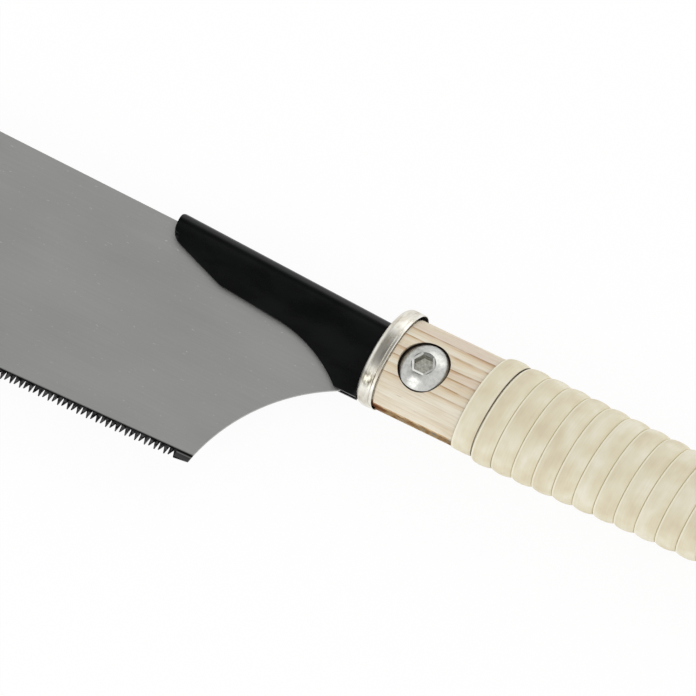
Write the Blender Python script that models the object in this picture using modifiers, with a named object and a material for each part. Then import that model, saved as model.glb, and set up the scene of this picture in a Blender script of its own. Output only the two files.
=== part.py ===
"""Kataba saw: a single-edged pull saw with a hook-in blade, a folded steel blade holder and a wooden handle
wound with a flat rattan strip.

Metres, +Z up. The saw lies on its side: +X runs along the handle to its butt, +Y points to the blade's spine, and
the blade's middle plane is z = 0. The origin is the middle of the flat butt end. Places along the saw are given
from the front of the ferrule, positive towards the butt.
"""

import math

import bmesh
import bpy
from mathutils import Vector

# Handle core, an oval piece of wood
HANDLE_LENGTH = 0.250
NECK_HALF_HEIGHT = 0.01395
NECK_HALF_THICKNESS = 0.0103
WAIST_PLACE = 0.115
WAIST_HALF_HEIGHT = 0.0123
WAIST_HALF_THICKNESS = 0.0089
SWELL_FROM_BUTT = 0.022
SWELL_HALF_HEIGHT = 0.0144
SWELL_HALF_THICKNESS = 0.0113
BUTT_ROUNDING = 0.0045

# Ferrule, a pressed ring whose front edge is rolled in
FERRULE_LENGTH = 0.0053
FERRULE_PROUD_HEIGHT = 0.00105
FERRULE_PROUD_THICKNESS = 0.00057
FERRULE_WALL = 0.0005
FERRULE_LIP = 0.0018
FERRULE_ROUNDING = 0.0020
FERRULE_RISE = 0.0006
FERRULE_SEAT_GAP = 0.0005

# Blade holder, one sheet folded over the spine of the blade, whose two cheeks run on into the handle as a tang
SHEET = 0.0006
FOLD_RADIUS = 0.0026
CHEEK_BLEND_RADIUS = 0.0206
TANG_BLEND_RADIUS = 0.0025
HOLDER_LENGTH = 0.0712
HOLDER_SPINE_SLOPE = 0.0445
HOLDER_TOP_BELOW_MOUTH = 0.00374
HOLDER_HEEL_INSET = 0.00031
NOSE_DEPTH = 0.0077
NOSE_RADIUS = 0.0052
NOSE_TOP_RADIUS = 0.0015
TRIM_ABOVE_FOLD = 0.0004
BELLY_PLACE = -0.05086
BELLY_DEPTH = 0.01395
BELLY_RADIUS = 0.0050
BELLY_SLOPE = 0.0898
THROAT_RADIUS = 0.0444
HOLDER_HEEL_LENGTH = 0.0072
HOLDER_HEEL_RADIUS = 0.0010
TANG_LENGTH = 0.042
TANG_BELOW_BOLT = 0.0075
TANG_BELOW_FOLD = 0.0004
TANG_END_RADIUS = 0.0030

# Blade
BLADE_THICKNESS = 0.0006
BLADE_SPINE_GAP = 0.00084
BLADE_SPINE_SLOPE = 0.02365
TOOTH_LINE_SLOPE = 0.0329
BLADE_HEEL_PLACE = -0.03114
BLADE_HEEL_DEPTH = 0.0513
HEEL_ARC_RADIUS = 0.04947
HEEL_ARC_END = -0.0057
HEEL_ARC_SHOWS = 0.0002
TOE_RADIUS = 0.012
TOOTH_ROW = 0.265
HEEL_BLOCK = 0.0043
HEEL_BLOCK_RISE = 0.00045
TOOTH_PITCH = 0.00153
TOOTH_HEIGHT = 0.0024
TOOTH_SET = 0.00015
TOOTH_BEVEL = 0.0006
TOOTH_FLEAM = 0.00016
TOOTH_LAND = 0.0003

# Hook of the blade and the pin that it swings on
PIN_RADIUS = 0.00175
PIN_DROP = 0.0040
CLAW_WALL = 0.00245
CLAW_OPENING_FROM = math.radians(180)
CLAW_OPENING_TO = math.radians(-60)
CLAW_BACK_ANGLE = math.radians(70)
NECK_LOWER_REACH = 0.0050

# Handle bolt, M8 with a button head, its washer and nut, and the spacer between the tang's cheeks
BOLT_PLACE = 0.01467
BOLT_DROP = 0.00094
BOLT_DIAMETER = 0.008
BOLT_LENGTH = 0.016
HEAD_DIAMETER = 0.014
HEAD_HEIGHT = 0.0044
HEAD_RIM = 0.0019
HEAD_TOP_RADIUS = 0.0034
SOCKET_WIDTH = 0.005
SOCKET_DEPTH = 0.0026
HEAD_SEAT_DEPTH = 0.0033
NUT_SEAT_DEPTH = 0.0070
WASHER_DIAMETER = 0.016
WASHER_THICKNESS = 0.0016
NUT_WIDTH = 0.013
NUT_HEIGHT = 0.004
SPACER_DIAMETER = 0.0118

# Rattan strip, wound left-handed from the neck towards the butt
WRAP_START = 0.0315
STRIP_WIDTH = 0.00563
STRIP_THICKNESS = 0.0009
STRIP_EDGE_THICKNESS = 0.0007
STRIP_SPACING = 0.0005
STRIP_START_SHARE = 0.25
STRIP_THIN_TURNS = 0.2
STRIP_FULL_TURNS = 0.6
BUTT_BARE = 0.066

# Clearances
SLIDE_GAP = 0.0003
PIN_GAP = 0.0003
BORE_GAP = 0.0003
SEAT_GAP = 0.0003
KERF_GAP = 0.0003
WRAP_GAP = 0.0003
COUNTERBORE_GAP = 0.0003
SPACER_GAP = 0.0006
KERF_PAST_TANG = 0.018

# Fineness of curved surfaces
OVAL_STEPS = 48
FOLD_STEPS = 10
TURNED_STEPS = 40
ARC_STEP = math.radians(12)
ARC_CHORD = 0.0025
CORE_STATIONS = 16
PIN_STEPS = 24
SMOOTH_ANGLE = math.radians(35)
STRIP_POINTS_PER_TURN = 24
CUT_MARGIN = 0.002

# Sizes that follow from those above
FRONT = -HANDLE_LENGTH
FERRULE_HALF_HEIGHT = NECK_HALF_HEIGHT + FERRULE_PROUD_HEIGHT
FERRULE_HALF_THICKNESS = NECK_HALF_THICKNESS + FERRULE_PROUD_THICKNESS
MOUTH_HALF_HEIGHT = FERRULE_HALF_HEIGHT - FERRULE_WALL - FERRULE_LIP
CORE_SEAT_INSET = FERRULE_WALL + FERRULE_SEAT_GAP
CORE_SEAT_HALF_HEIGHT = FERRULE_HALF_HEIGHT - FERRULE_RISE - CORE_SEAT_INSET
CORE_SEAT_HALF_THICKNESS = FERRULE_HALF_THICKNESS - CORE_SEAT_INSET
CORE_FRONT = FERRULE_ROUNDING
SHOULDER_PLACE = FERRULE_LENGTH + SEAT_GAP
SLOT_HALF = BLADE_THICKNESS / 2 + SLIDE_GAP
CHEEK_HALF = SLOT_HALF + SHEET
KERF_HALF = CHEEK_HALF + KERF_GAP
FOLD_END = CORE_FRONT - SEAT_GAP
HOLDER_TOP = FERRULE_RISE + MOUTH_HALF_HEIGHT - HOLDER_TOP_BELOW_MOUTH
HOLDER_HEEL = FERRULE_RISE - FERRULE_HALF_HEIGHT + HOLDER_HEEL_INSET
TRIM_THICKNESS = 4 * FOLD_RADIUS
CLAW_INNER = PIN_RADIUS + PIN_GAP
CLAW_OUTER = CLAW_INNER + CLAW_WALL
SPACER_RADIUS = SPACER_DIAMETER / 2
PIN_PLACE = BOLT_PLACE - SPACER_RADIUS - SPACER_GAP - CLAW_OUTER
HEAD_SEAT = NECK_HALF_THICKNESS - HEAD_SEAT_DEPTH
NUT_SEAT = NUT_SEAT_DEPTH - NECK_HALF_THICKNESS
TURN_PITCH = STRIP_WIDTH + STRIP_SPACING
WRAP_TURNS = math.floor((HANDLE_LENGTH - WRAP_START - BUTT_BARE) / TURN_PITCH)


def along(place):
    """World x of a place given from the front of the ferrule."""
    return FRONT + place


def holder_top(place):
    """Height of the holder's folded edge at a place."""
    return HOLDER_TOP - HOLDER_SPINE_SLOPE * place


def blade_spine(place):
    """Height of the blade's spine at a place."""
    return HOLDER_TOP - SHEET - BLADE_SPINE_GAP - BLADE_SPINE_SLOPE * place


def tooth_line(place):
    """Height of the line through the tooth tips at a place."""
    return -BLADE_HEEL_DEPTH - HEEL_BLOCK_RISE + TOOTH_LINE_SLOPE * (place - BLADE_HEEL_PLACE)


def eased(start, end, share):
    """A value that leaves start and reaches end with no slope."""
    share = min(max(share, 0.0), 1.0)
    return start + (end - start) * share * share * (3 - 2 * share)


def core_halves(place):
    """Half height and half thickness of the wood behind the ferrule: neck, waist and swell."""
    swell = HANDLE_LENGTH - SWELL_FROM_BUTT
    if place < WAIST_PLACE:
        share = (place - WRAP_START) / (WAIST_PLACE - WRAP_START)
        return (
            eased(NECK_HALF_HEIGHT, WAIST_HALF_HEIGHT, share),
            eased(NECK_HALF_THICKNESS, WAIST_HALF_THICKNESS, share),
        )
    share = (place - WAIST_PLACE) / (swell - WAIST_PLACE)
    return (
        eased(WAIST_HALF_HEIGHT, SWELL_HALF_HEIGHT, share),
        eased(WAIST_HALF_THICKNESS, SWELL_HALF_THICKNESS, share),
    )


def linear(channel):
    """One sRGB channel from 0 to 255 as a linear value."""
    value = channel / 255
    return value / 12.92 if value <= 0.04045 else ((value + 0.055) / 1.055) ** 2.4


def material(name, red, green, blue, roughness, metallic=0.0):
    """A Principled material of one sRGB colour."""
    made = bpy.data.materials.new(name)
    made.use_nodes = True
    shader = made.node_tree.nodes["Principled BSDF"]
    shader.inputs["Base Color"].default_value = (linear(red), linear(green), linear(blue), 1)
    shader.inputs["Roughness"].default_value = roughness
    shader.inputs["Metallic"].default_value = metallic
    made.diffuse_color = shader.inputs["Base Color"].default_value
    return made


def clear_scene():
    """Removes every object of the scene."""
    for obj in list(bpy.data.objects):
        bpy.data.objects.remove(obj, do_unlink=True)


def collection(name):
    """A new collection in the scene."""
    made = bpy.data.collections.new(name)
    bpy.context.scene.collection.children.link(made)
    return made


def add(group, name, mesh, finish=None, location=(0, 0, 0)):
    """An object of this mesh, shaded smooth except at sharp edges."""
    obj = bpy.data.objects.new(name, mesh)
    obj.location = location
    group.objects.link(obj)
    mesh.shade_smooth()
    mesh.set_sharp_from_angle(angle=SMOOTH_ANGLE)
    if finish:
        mesh.materials.append(finish)
    return obj


def arc(centre, radius, start, end, steps=None):
    """Points of an arc from one angle to another, both ends included."""
    if steps is None:
        steps = max(2, math.ceil(abs(end - start) / min(ARC_STEP, ARC_CHORD / radius)))
    angles = [start + (end - start) * step / steps for step in range(steps + 1)]
    return [(centre[0] + radius * math.cos(a), centre[1] + radius * math.sin(a)) for a in angles]


def turned_to(start, end):
    """The angle end, moved by whole turns to within half a turn of start."""
    return start + (end - start + math.pi) % (2 * math.pi) - math.pi


def rounded(corners):
    """Points of a closed outline whose corners (x, y, radius) are rounded by arcs."""
    points = []
    for index, (x, y, radius) in enumerate(corners):
        corner = Vector((x, y))
        if not radius:
            points.append((x, y))
            continue
        before = (Vector(corners[index - 1][:2]) - corner).normalized()
        after = (Vector(corners[(index + 1) % len(corners)][:2]) - corner).normalized()
        half = before.angle(after) / 2
        centre = corner + (before + after).normalized() * (radius / math.sin(half))
        reach = radius / math.tan(half)
        first = corner + before * reach - centre
        last = corner + after * reach - centre
        start = math.atan2(first.y, first.x)
        points += arc(centre, radius, start, turned_to(start, math.atan2(last.y, last.x)))
    return points


def plate(name, outline, thickness):
    """Mesh of a flat outline in x and y, as thick as asked about z = 0."""
    form = bmesh.new()
    face = form.faces.new([form.verts.new((x, y, -thickness / 2)) for x, y in outline])
    raised = bmesh.ops.extrude_face_region(form, geom=[face], use_keep_orig=True)["geom"]
    corners = [part for part in raised if isinstance(part, bmesh.types.BMVert)]
    bmesh.ops.translate(form, verts=corners, vec=(0, 0, thickness))
    bmesh.ops.recalc_face_normals(form, faces=form.faces)
    return as_mesh(form, name)


def oval_ring(form, x, half_height, half_thickness, centre_y=0.0):
    """Vertices of an oval across the handle at world x."""
    turns = [2 * math.pi * step / OVAL_STEPS for step in range(OVAL_STEPS)]
    return [
        form.verts.new((x, centre_y + half_height * math.cos(t), half_thickness * math.sin(t))) for t in turns
    ]


def loft(form, rings, capped=True):
    """Joins rings of as many vertices by quads, closes the ends if asked, and turns the faces outwards."""
    for first, second in zip(rings, rings[1:]):
        for step in range(len(first)):
            after = (step + 1) % len(first)
            form.faces.new((first[step], first[after], second[after], second[step]))
    if capped:
        form.faces.new(rings[0])
        form.faces.new(rings[-1])
    bmesh.ops.recalc_face_normals(form, faces=form.faces)


def as_mesh(form, name):
    """The bmesh as a new mesh."""
    mesh = bpy.data.meshes.new(name)
    form.to_mesh(mesh)
    form.free()
    return mesh


def cylinder(name, radius, height, steps=TURNED_STEPS):
    """Mesh of an upright cylinder, or of a prism of few sides, about the origin."""
    form = bmesh.new()
    bmesh.ops.create_cone(form, cap_ends=True, segments=steps, radius1=radius, radius2=radius, depth=height)
    return as_mesh(form, name)


def turned(group, name, profile, finish, location, closed=False):
    """A turned piece from a profile (radius, z) that runs down its outer side; a closed one makes a ring."""
    mesh = bpy.data.meshes.new(name)
    edges = [(index, index + 1) for index in range(len(profile) - 1)]
    if closed:
        edges.append((len(profile) - 1, 0))
    mesh.from_pydata([(radius, 0, z) for radius, z in profile], edges, [])
    obj = add(group, name, mesh, finish, location)
    screw = obj.modifiers.new("turn", "SCREW")
    screw.axis = "Z"
    screw.steps = TURNED_STEPS
    screw.render_steps = TURNED_STEPS
    screw.use_merge_vertices = True
    screw.merge_threshold = 1e-6
    return obj


def flat_ring(group, name, outer, inner, thickness, finish, location):
    """A flat ring about the z axis of its place."""
    half = thickness / 2
    profile = [(outer, half), (outer, -half), (inner, -half), (inner, half)]
    return turned(group, name, profile, finish, location, closed=True)


def boolean(target, other, operation="DIFFERENCE"):
    """Cuts the target by the other object, or keeps what both share."""
    step = target.modifiers.new(other.name, "BOOLEAN")
    step.object = other
    step.operation = operation


def cutter(group, name, mesh, location=(0, 0, 0)):
    """A helper that shapes another piece and isn't one itself."""
    obj = add(group, name, mesh, None, location)
    obj.hide_render = True
    obj.display_type = "WIRE"
    return obj


def heel_arc_points(heel, end):
    """The hollow heel edge of the blade, from the tooth corner up to the holder."""
    chord = Vector(end) - Vector(heel)
    rise = math.sqrt(HEEL_ARC_RADIUS**2 - (chord.length / 2) ** 2)
    centre = (Vector(heel) + Vector(end)) / 2 + Vector((chord.y, -chord.x)).normalized() * rise
    start = math.atan2(heel[1] - centre.y, heel[0] - centre.x)
    finish = math.atan2(end[1] - centre.y, end[0] - centre.x)
    return arc(centre, HEEL_ARC_RADIUS, start, turned_to(start, finish))


def tooth_points(first, gullets, side):
    """Gullets and tips of one side of the tooth row, from the toe to the heel block.

    The tips are bent to one side and the other in turn and end in a point on that side, and the gullets are filed at a
    slant that turns with each tooth.
    """
    half = side * BLADE_THICKNESS / 2
    points = []
    for gullet in range(gullets):
        slant = side * TOOTH_FLEAM * (-1) ** gullet
        root = first + (gullet + 0.5) * TOOTH_PITCH + slant
        points.append((root, tooth_line(root) + TOOTH_HEIGHT, half))
        tip = first + (gullet + 1) * TOOTH_PITCH
        last = gullet == gullets - 1
        lean = 0 if last else (-1) ** gullet
        blunt = TOOTH_BEVEL if side * lean < 0 else 0.0
        for place in (tip,) if last else (tip - TOOTH_LAND / 2, tip + TOOTH_LAND / 2):
            points.append((place, tooth_line(place) + blunt, half + lean * TOOTH_SET))
    return points


def blade_side(pin, side):
    """Closed outline of one side of the blade: 1 for the upper side, -1 for the lower."""
    heel = (BLADE_HEEL_PLACE, -BLADE_HEEL_DEPTH)
    arc_end = (HEEL_ARC_END, HOLDER_HEEL - HEEL_ARC_SHOWS)
    points = heel_arc_points(heel, arc_end)
    points.append((pin[0] - CLAW_OUTER, pin[1] - NECK_LOWER_REACH))
    points += arc(pin, CLAW_INNER, CLAW_OPENING_FROM, CLAW_OPENING_TO)
    points += arc(pin, CLAW_OUTER, CLAW_OPENING_TO, CLAW_BACK_ANGLE)
    neck_back = pin[0] - CLAW_INNER
    points.append((neck_back, blade_spine(neck_back)))
    toe = BLADE_HEEL_PLACE - TOOTH_ROW
    spine_corner = (toe, blade_spine(toe), TOE_RADIUS)
    toe_points = rounded([(neck_back, blade_spine(neck_back), 0), spine_corner, (toe, tooth_line(toe), 0)])
    points += toe_points[1:]
    gullets = math.floor((TOOTH_ROW - HEEL_BLOCK) / TOOTH_PITCH)
    first = BLADE_HEEL_PLACE - HEEL_BLOCK - gullets * TOOTH_PITCH
    points.append((first, tooth_line(first)))
    flat = [(x, y, side * BLADE_THICKNESS / 2) for x, y in points]
    return flat + tooth_points(first, gullets, side)


def make_blade(group, pin):
    """The blade, with its origin on the pin that it swings on."""
    form = bmesh.new()
    sides = []
    for side in (1, -1):
        sides.append([form.verts.new((x - pin[0], y - pin[1], z)) for x, y, z in blade_side(pin, side)])
    loft(form, sides)
    steel = material("spring_steel", 146, 146, 145, 0.38, 1.0)
    return add(group, "saw_blade", as_mesh(form, "saw_blade"), steel, (along(pin[0]), pin[1], 0))


def flat_below(blend_radius):
    """How far below the fold's top the cheeks are flat, where a blend of this radius leads to them."""
    return FOLD_RADIUS + math.sqrt((FOLD_RADIUS + blend_radius) ** 2 - (CHEEK_HALF + blend_radius) ** 2)


def fold_section(blend_radius):
    """Outer side of the holder's section (z, depth below the fold's top): cheek, rolled fold, cheek."""
    fold = (0.0, -FOLD_RADIUS)
    blend = (CHEEK_HALF + blend_radius, -flat_below(blend_radius))
    meet = math.atan2(blend[1] - fold[1], blend[0] - fold[0])
    side = [(CHEEK_HALF, -BLADE_HEEL_DEPTH)]
    side += arc(blend, blend_radius, math.pi, math.pi + meet, FOLD_STEPS)
    side += arc(fold, FOLD_RADIUS, meet, math.pi / 2, FOLD_STEPS)[1:]
    return side + [(-z, depth) for z, depth in reversed(side[:-1])]


def throat_points(belly, heel):
    """The arc that leaves the straight lower edge behind the belly smoothly and runs down to the heel."""
    edge = Vector((1, -BELLY_SLOPE)).normalized()
    down = Vector((edge.y, -edge.x))
    reach = Vector(heel) - Vector(belly)
    drop = reach.dot(down)
    start = reach.dot(edge) - math.sqrt(2 * THROAT_RADIUS * drop - drop**2)
    centre = Vector(belly) + edge * start + down * THROAT_RADIUS
    leave = math.atan2(-down.y, -down.x)
    arrive = math.atan2(heel[1] - centre.y, heel[0] - centre.x)
    return arc(centre, THROAT_RADIUS, leave, turned_to(leave, arrive))


def holder_outline(bolt):
    """Side outline of the holder with its tang."""
    nose = -HOLDER_LENGTH
    belly = (BELLY_PLACE, holder_top(BELLY_PLACE) - BELLY_DEPTH)
    heel = (-HOLDER_HEEL_LENGTH, HOLDER_HEEL)
    tang_top = flat_below(TANG_BLEND_RADIUS) + TANG_BELOW_FOLD
    tang_bottom = bolt[1] - TANG_BELOW_BOLT
    return rounded(
        [
            (nose, holder_top(nose) + TRIM_ABOVE_FOLD, NOSE_TOP_RADIUS),
            (nose, holder_top(nose) - NOSE_DEPTH, NOSE_RADIUS),
            (*belly, BELLY_RADIUS),
            *((x, y, 0) for x, y in throat_points(belly, heel)[:-1]),
            (*heel, HOLDER_HEEL_RADIUS),
            (-SEAT_GAP, HOLDER_HEEL, 0),
            (-SEAT_GAP, tang_bottom, 0),
            (TANG_LENGTH, tang_bottom, TANG_END_RADIUS),
            (TANG_LENGTH, holder_top(TANG_LENGTH) - tang_top, TANG_END_RADIUS),
            (FOLD_END, holder_top(FOLD_END) - tang_top, 0),
            (FOLD_END, holder_top(FOLD_END) + TRIM_ABOVE_FOLD, 0),
        ]
    )


def make_holder(group, cutters, pin, bolt):
    """The folded sheet: its section is drawn along the spine, then trimmed to the side outline and drilled.

    The cheeks draw in gently below the fold, and close under it inside the ferrule, where the tang enters its kerf.
    """
    form = bmesh.new()
    rings = []
    for place, blend_radius in (
        (-HOLDER_LENGTH - CUT_MARGIN, CHEEK_BLEND_RADIUS),
        (0.0, CHEEK_BLEND_RADIUS),
        (FOLD_END, TANG_BLEND_RADIUS),
        (TANG_LENGTH + CUT_MARGIN, TANG_BLEND_RADIUS),
    ):
        section = fold_section(blend_radius)
        rings.append([form.verts.new((along(place), holder_top(place) + depth, z)) for z, depth in section])
    for first, second in zip(rings, rings[1:]):
        for step in range(len(first) - 1):
            form.faces.new((second[step], second[step + 1], first[step + 1], first[step]))
    paint = material("black_enamel", 18, 20, 19, 0.35)
    holder = add(group, "blade_holder", as_mesh(form, "blade_holder"), paint)
    wall = holder.modifiers.new("sheet", "SOLIDIFY")
    wall.thickness = SHEET
    wall.offset = -1
    wall.use_even_offset = True
    outline = [(along(x), y) for x, y in holder_outline(bolt)]
    trim = cutter(cutters, "holder_trim", plate("holder_trim", outline, TRIM_THICKNESS))
    boolean(holder, trim, "INTERSECT")
    for name, place, radius in (
        ("pin_hole", pin, PIN_RADIUS + PIN_GAP),
        ("tang_bolt_hole", bolt, BOLT_DIAMETER / 2 + BORE_GAP),
    ):
        drill = cylinder(name, radius, TRIM_THICKNESS)
        boolean(holder, cutter(cutters, name, drill, (along(place[0]), place[1], 0)))
    return holder


def make_pin(group, pin):
    """The hook pin, flush with the outer sides of the holder's cheeks."""
    steel = material("pin_steel", 150, 150, 148, 0.4, 1.0)
    mesh = cylinder("hook_pin", PIN_RADIUS, 2 * CHEEK_HALF, PIN_STEPS)
    return add(group, "hook_pin", mesh, steel, (along(pin[0]), pin[1], 0))


def make_ferrule(group):
    """The ferrule, lofted round its wall: outside from the rolled lip to the rear edge, and back inside."""
    form = bmesh.new()
    roll = (FERRULE_ROUNDING, FERRULE_ROUNDING)
    outside = arc(roll, FERRULE_ROUNDING, math.pi, 1.5 * math.pi)
    inside = arc(roll, FERRULE_ROUNDING - FERRULE_WALL, 1.5 * math.pi, math.pi)
    lip = FERRULE_WALL + FERRULE_LIP
    rear = [(FERRULE_LENGTH, 0.0), (FERRULE_LENGTH, FERRULE_WALL)]
    profile = [(0.0, lip), *outside, *rear, *inside, (FERRULE_WALL, lip)]
    rings = [
        oval_ring(form, along(x), FERRULE_HALF_HEIGHT - inset, FERRULE_HALF_THICKNESS - inset, FERRULE_RISE)
        for x, inset in profile
    ]
    loft(form, rings + rings[:1], capped=False)
    plated = material("plated_steel", 205, 204, 196, 0.25, 1.0)
    return add(group, "ferrule", as_mesh(form, "ferrule"), plated)


def core_rings(form):
    """Ovals of the handle core from its seat in the ferrule to the flat of the butt."""
    seat = (CORE_SEAT_HALF_HEIGHT, CORE_SEAT_HALF_THICKNESS)
    rings = [oval_ring(form, along(place), *seat) for place in (CORE_FRONT, SHOULDER_PLACE)]
    rings.append(oval_ring(form, along(SHOULDER_PLACE), *core_halves(SHOULDER_PLACE)))
    bare_end = HANDLE_LENGTH - BUTT_ROUNDING
    for step in range(CORE_STATIONS + 1):
        place = WRAP_START + (bare_end - WRAP_START) * step / CORE_STATIONS
        rings.append(oval_ring(form, along(place), *core_halves(place)))
    end_height, end_thickness = core_halves(bare_end)
    for x, inset in arc((0.0, 0.0), BUTT_ROUNDING, 0, math.pi / 2)[1:]:
        drop = BUTT_ROUNDING - x
        rings.append(oval_ring(form, along(bare_end + inset), end_height - drop, end_thickness - drop))
    return rings


def make_core(group, cutters, bolt):
    """The wooden handle: a lofted oval with a kerf for the tang and a stepped hole for the bolt."""
    form = bmesh.new()
    loft(form, core_rings(form))
    wood = material("pale_oak", 222, 210, 187, 0.6)
    core = add(group, "handle_core", as_mesh(form, "handle_core"), wood)

    deep = 2 * (FERRULE_HALF_HEIGHT + CUT_MARGIN)
    front = CORE_FRONT - CUT_MARGIN
    back = TANG_LENGTH + KERF_PAST_TANG
    corners = [(front, -deep / 2, 0), (back, -deep / 2, 0), (back, deep / 2, 0), (front, deep / 2, 0)]
    kerf = plate("kerf", [(along(x), y) for x, y in rounded(corners)], 2 * KERF_HALF)
    boolean(core, cutter(cutters, "kerf", kerf))

    tall = 2 * (NECK_HALF_THICKNESS + CUT_MARGIN)
    place = (along(bolt[0]), bolt[1])
    bore = cylinder("bolt_bore", BOLT_DIAMETER / 2 + BORE_GAP, tall)
    boolean(core, cutter(cutters, "bolt_bore", bore, (*place, 0)))
    near = tall / 2 - (HEAD_SEAT - SEAT_GAP)
    head_pocket = cylinder("head_pocket", HEAD_DIAMETER / 2 + COUNTERBORE_GAP, near)
    boolean(core, cutter(cutters, "head_pocket", head_pocket, (*place, tall / 2 - near / 2)))
    far = tall / 2 + NUT_SEAT
    nut_pocket = cylinder("nut_pocket", WASHER_DIAMETER / 2 + COUNTERBORE_GAP, far)
    boolean(core, cutter(cutters, "nut_pocket", nut_pocket, (*place, far / 2 - tall / 2)))
    return core


def make_bolt(group, cutters, bolt):
    """The button-head bolt, its head up, with a hexagon socket."""
    radius = HEAD_DIAMETER / 2
    shank = BOLT_DIAMETER / 2
    chamfer = shank / 8
    dome_centre = (radius**2 - HEAD_TOP_RADIUS**2 + HEAD_RIM**2 - HEAD_HEIGHT**2) / (2 * (HEAD_RIM - HEAD_HEIGHT))
    dome = math.hypot(radius, HEAD_RIM - dome_centre)
    top = math.atan2(HEAD_HEIGHT - dome_centre, HEAD_TOP_RADIUS)
    rim = math.atan2(HEAD_RIM - dome_centre, radius)
    profile = [(0, HEAD_HEIGHT)] + arc((0, dome_centre), dome, top, rim)
    profile += [(radius, 0), (shank, 0), (shank, chamfer - BOLT_LENGTH), (shank - chamfer, -BOLT_LENGTH)]
    profile.append((0, -BOLT_LENGTH))
    steel = material("bright_steel", 196, 196, 190, 0.3, 1.0)
    place = (along(bolt[0]), bolt[1], HEAD_SEAT)
    made = turned(group, "handle_bolt", profile, steel, place)
    socket = cylinder("hex_socket", SOCKET_WIDTH / math.sqrt(3), 2 * SOCKET_DEPTH, 6)
    tool = cutter(cutters, "hex_socket", socket, (place[0], place[1], HEAD_SEAT + HEAD_HEIGHT))
    tool.rotation_euler.z = math.radians(90)
    boolean(made, tool)
    return made


def make_spacer(group, bolt):
    """The ring that keeps the tang's cheeks apart where the bolt draws them together."""
    steel = material("spacer_steel", 160, 160, 156, 0.45, 1.0)
    hole = BOLT_DIAMETER / 2 + BORE_GAP
    thickness = 2 * (SLOT_HALF - SEAT_GAP)
    return flat_ring(group, "tang_spacer", SPACER_RADIUS, hole, thickness, steel, (along(bolt[0]), bolt[1], 0))


def make_nut_and_washer(group, cutters, bolt):
    """The washer and the hexagon nut in their pocket on the far side of the handle."""
    steel = material("fastener_steel", 176, 176, 172, 0.4, 1.0)
    hole = BOLT_DIAMETER / 2 + BORE_GAP
    place = (along(bolt[0]), bolt[1])
    washer_z = NUT_SEAT - SEAT_GAP - WASHER_THICKNESS / 2
    flat_ring(group, "handle_washer", WASHER_DIAMETER / 2, hole, WASHER_THICKNESS, steel, (*place, washer_z))
    nut_z = washer_z - WASHER_THICKNESS / 2 - SEAT_GAP - NUT_HEIGHT / 2
    prism = cylinder("handle_nut", NUT_WIDTH / math.sqrt(3), NUT_HEIGHT, 6)
    nut = add(group, "handle_nut", prism, steel, (*place, nut_z))
    bore = cylinder("nut_bore", hole, NUT_HEIGHT + CUT_MARGIN)
    boolean(nut, cutter(cutters, "nut_bore", bore, (*place, nut_z)))
    return nut


def strip_section():
    """Section of the strip (across its width, out from the wood): flat below, crowned above."""
    half = STRIP_WIDTH / 2
    return [
        (-half, 0.0),
        (half, 0.0),
        (half, STRIP_EDGE_THICKNESS),
        (0.0, STRIP_THICKNESS),
        (-half, STRIP_EDGE_THICKNESS),
    ]


def strip_point(turn, across, out):
    """A point of the wound strip, after so many turns, so far across it and so far out from its underside.

    The strip starts thinned on the lower side of the lying handle, passes its tooth edge, and runs towards the butt as
    it crosses the upper side to the spine edge.
    """
    angle = 1.5 * math.pi - 2 * math.pi * turn
    place = WRAP_START + STRIP_WIDTH / 2 + (turn - 0.5) * TURN_PITCH + across
    half_height, half_thickness = core_halves(place)
    grown = eased(STRIP_START_SHARE, 1.0, (turn - STRIP_THIN_TURNS) / (STRIP_FULL_TURNS - STRIP_THIN_TURNS))
    lift = WRAP_GAP + out * grown
    return (
        along(place),
        (half_height + lift) * math.cos(angle),
        (half_thickness + lift) * math.sin(angle),
    )


def print_wrap_gap(steps):
    """Prints the least gap between neighbouring turns, measured from edge to edge on the strip's points."""
    half = STRIP_WIDTH / 2
    heights = (0.0, STRIP_EDGE_THICKNESS)
    least = math.inf
    for step in range(steps + 1 - STRIP_POINTS_PER_TURN):
        turn = step / STRIP_POINTS_PER_TURN
        for out in heights:
            edge = Vector(strip_point(turn, half, out))
            for near in (-1, 0, 1):
                later = turn + 1 + near / STRIP_POINTS_PER_TURN
                for other in heights:
                    least = min(least, (Vector(strip_point(later, -half, other)) - edge).length)
    print(f"rattan_wrap: {steps / STRIP_POINTS_PER_TURN:.0f} turns, least gap to itself {least * 1000:.2f} mm")


def make_wrap(group):
    """The rattan strip, one unbroken winding round the handle."""
    steps = WRAP_TURNS * STRIP_POINTS_PER_TURN
    form = bmesh.new()
    section = strip_section()
    rings = []
    for step in range(steps + 1):
        turn = step / STRIP_POINTS_PER_TURN
        rings.append([form.verts.new(strip_point(turn, across, out)) for across, out in section])
    loft(form, rings)
    print_wrap_gap(steps)
    rattan = material("peeled_rattan", 216, 207, 181, 0.5)
    return add(group, "rattan_wrap", as_mesh(form, "rattan_wrap"), rattan)


def main():
    """Builds every piece of the saw."""
    clear_scene()
    parts = collection("kataba_saw")
    cutters = collection("kataba_saw_cutters")
    pin = (PIN_PLACE, -PIN_DROP)
    bolt = (BOLT_PLACE, -BOLT_DROP)
    make_blade(parts, pin)
    make_holder(parts, cutters, pin, bolt)
    make_pin(parts, pin)
    make_ferrule(parts)
    make_core(parts, cutters, bolt)
    make_bolt(parts, cutters, bolt)
    make_spacer(parts, bolt)
    make_nut_and_washer(parts, cutters, bolt)
    make_wrap(parts)


main()
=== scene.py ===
"""Looks of a single-edged pull saw: ground blade, enamelled holder, plated ferrule, rattan-wound oak handle.

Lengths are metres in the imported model's frame: +X points out of the handle's butt, +Y to the blade's spine,
and z = 0 is the blade's middle plane. Places along the saw count from the ferrule's front towards the butt.
"""

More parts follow.
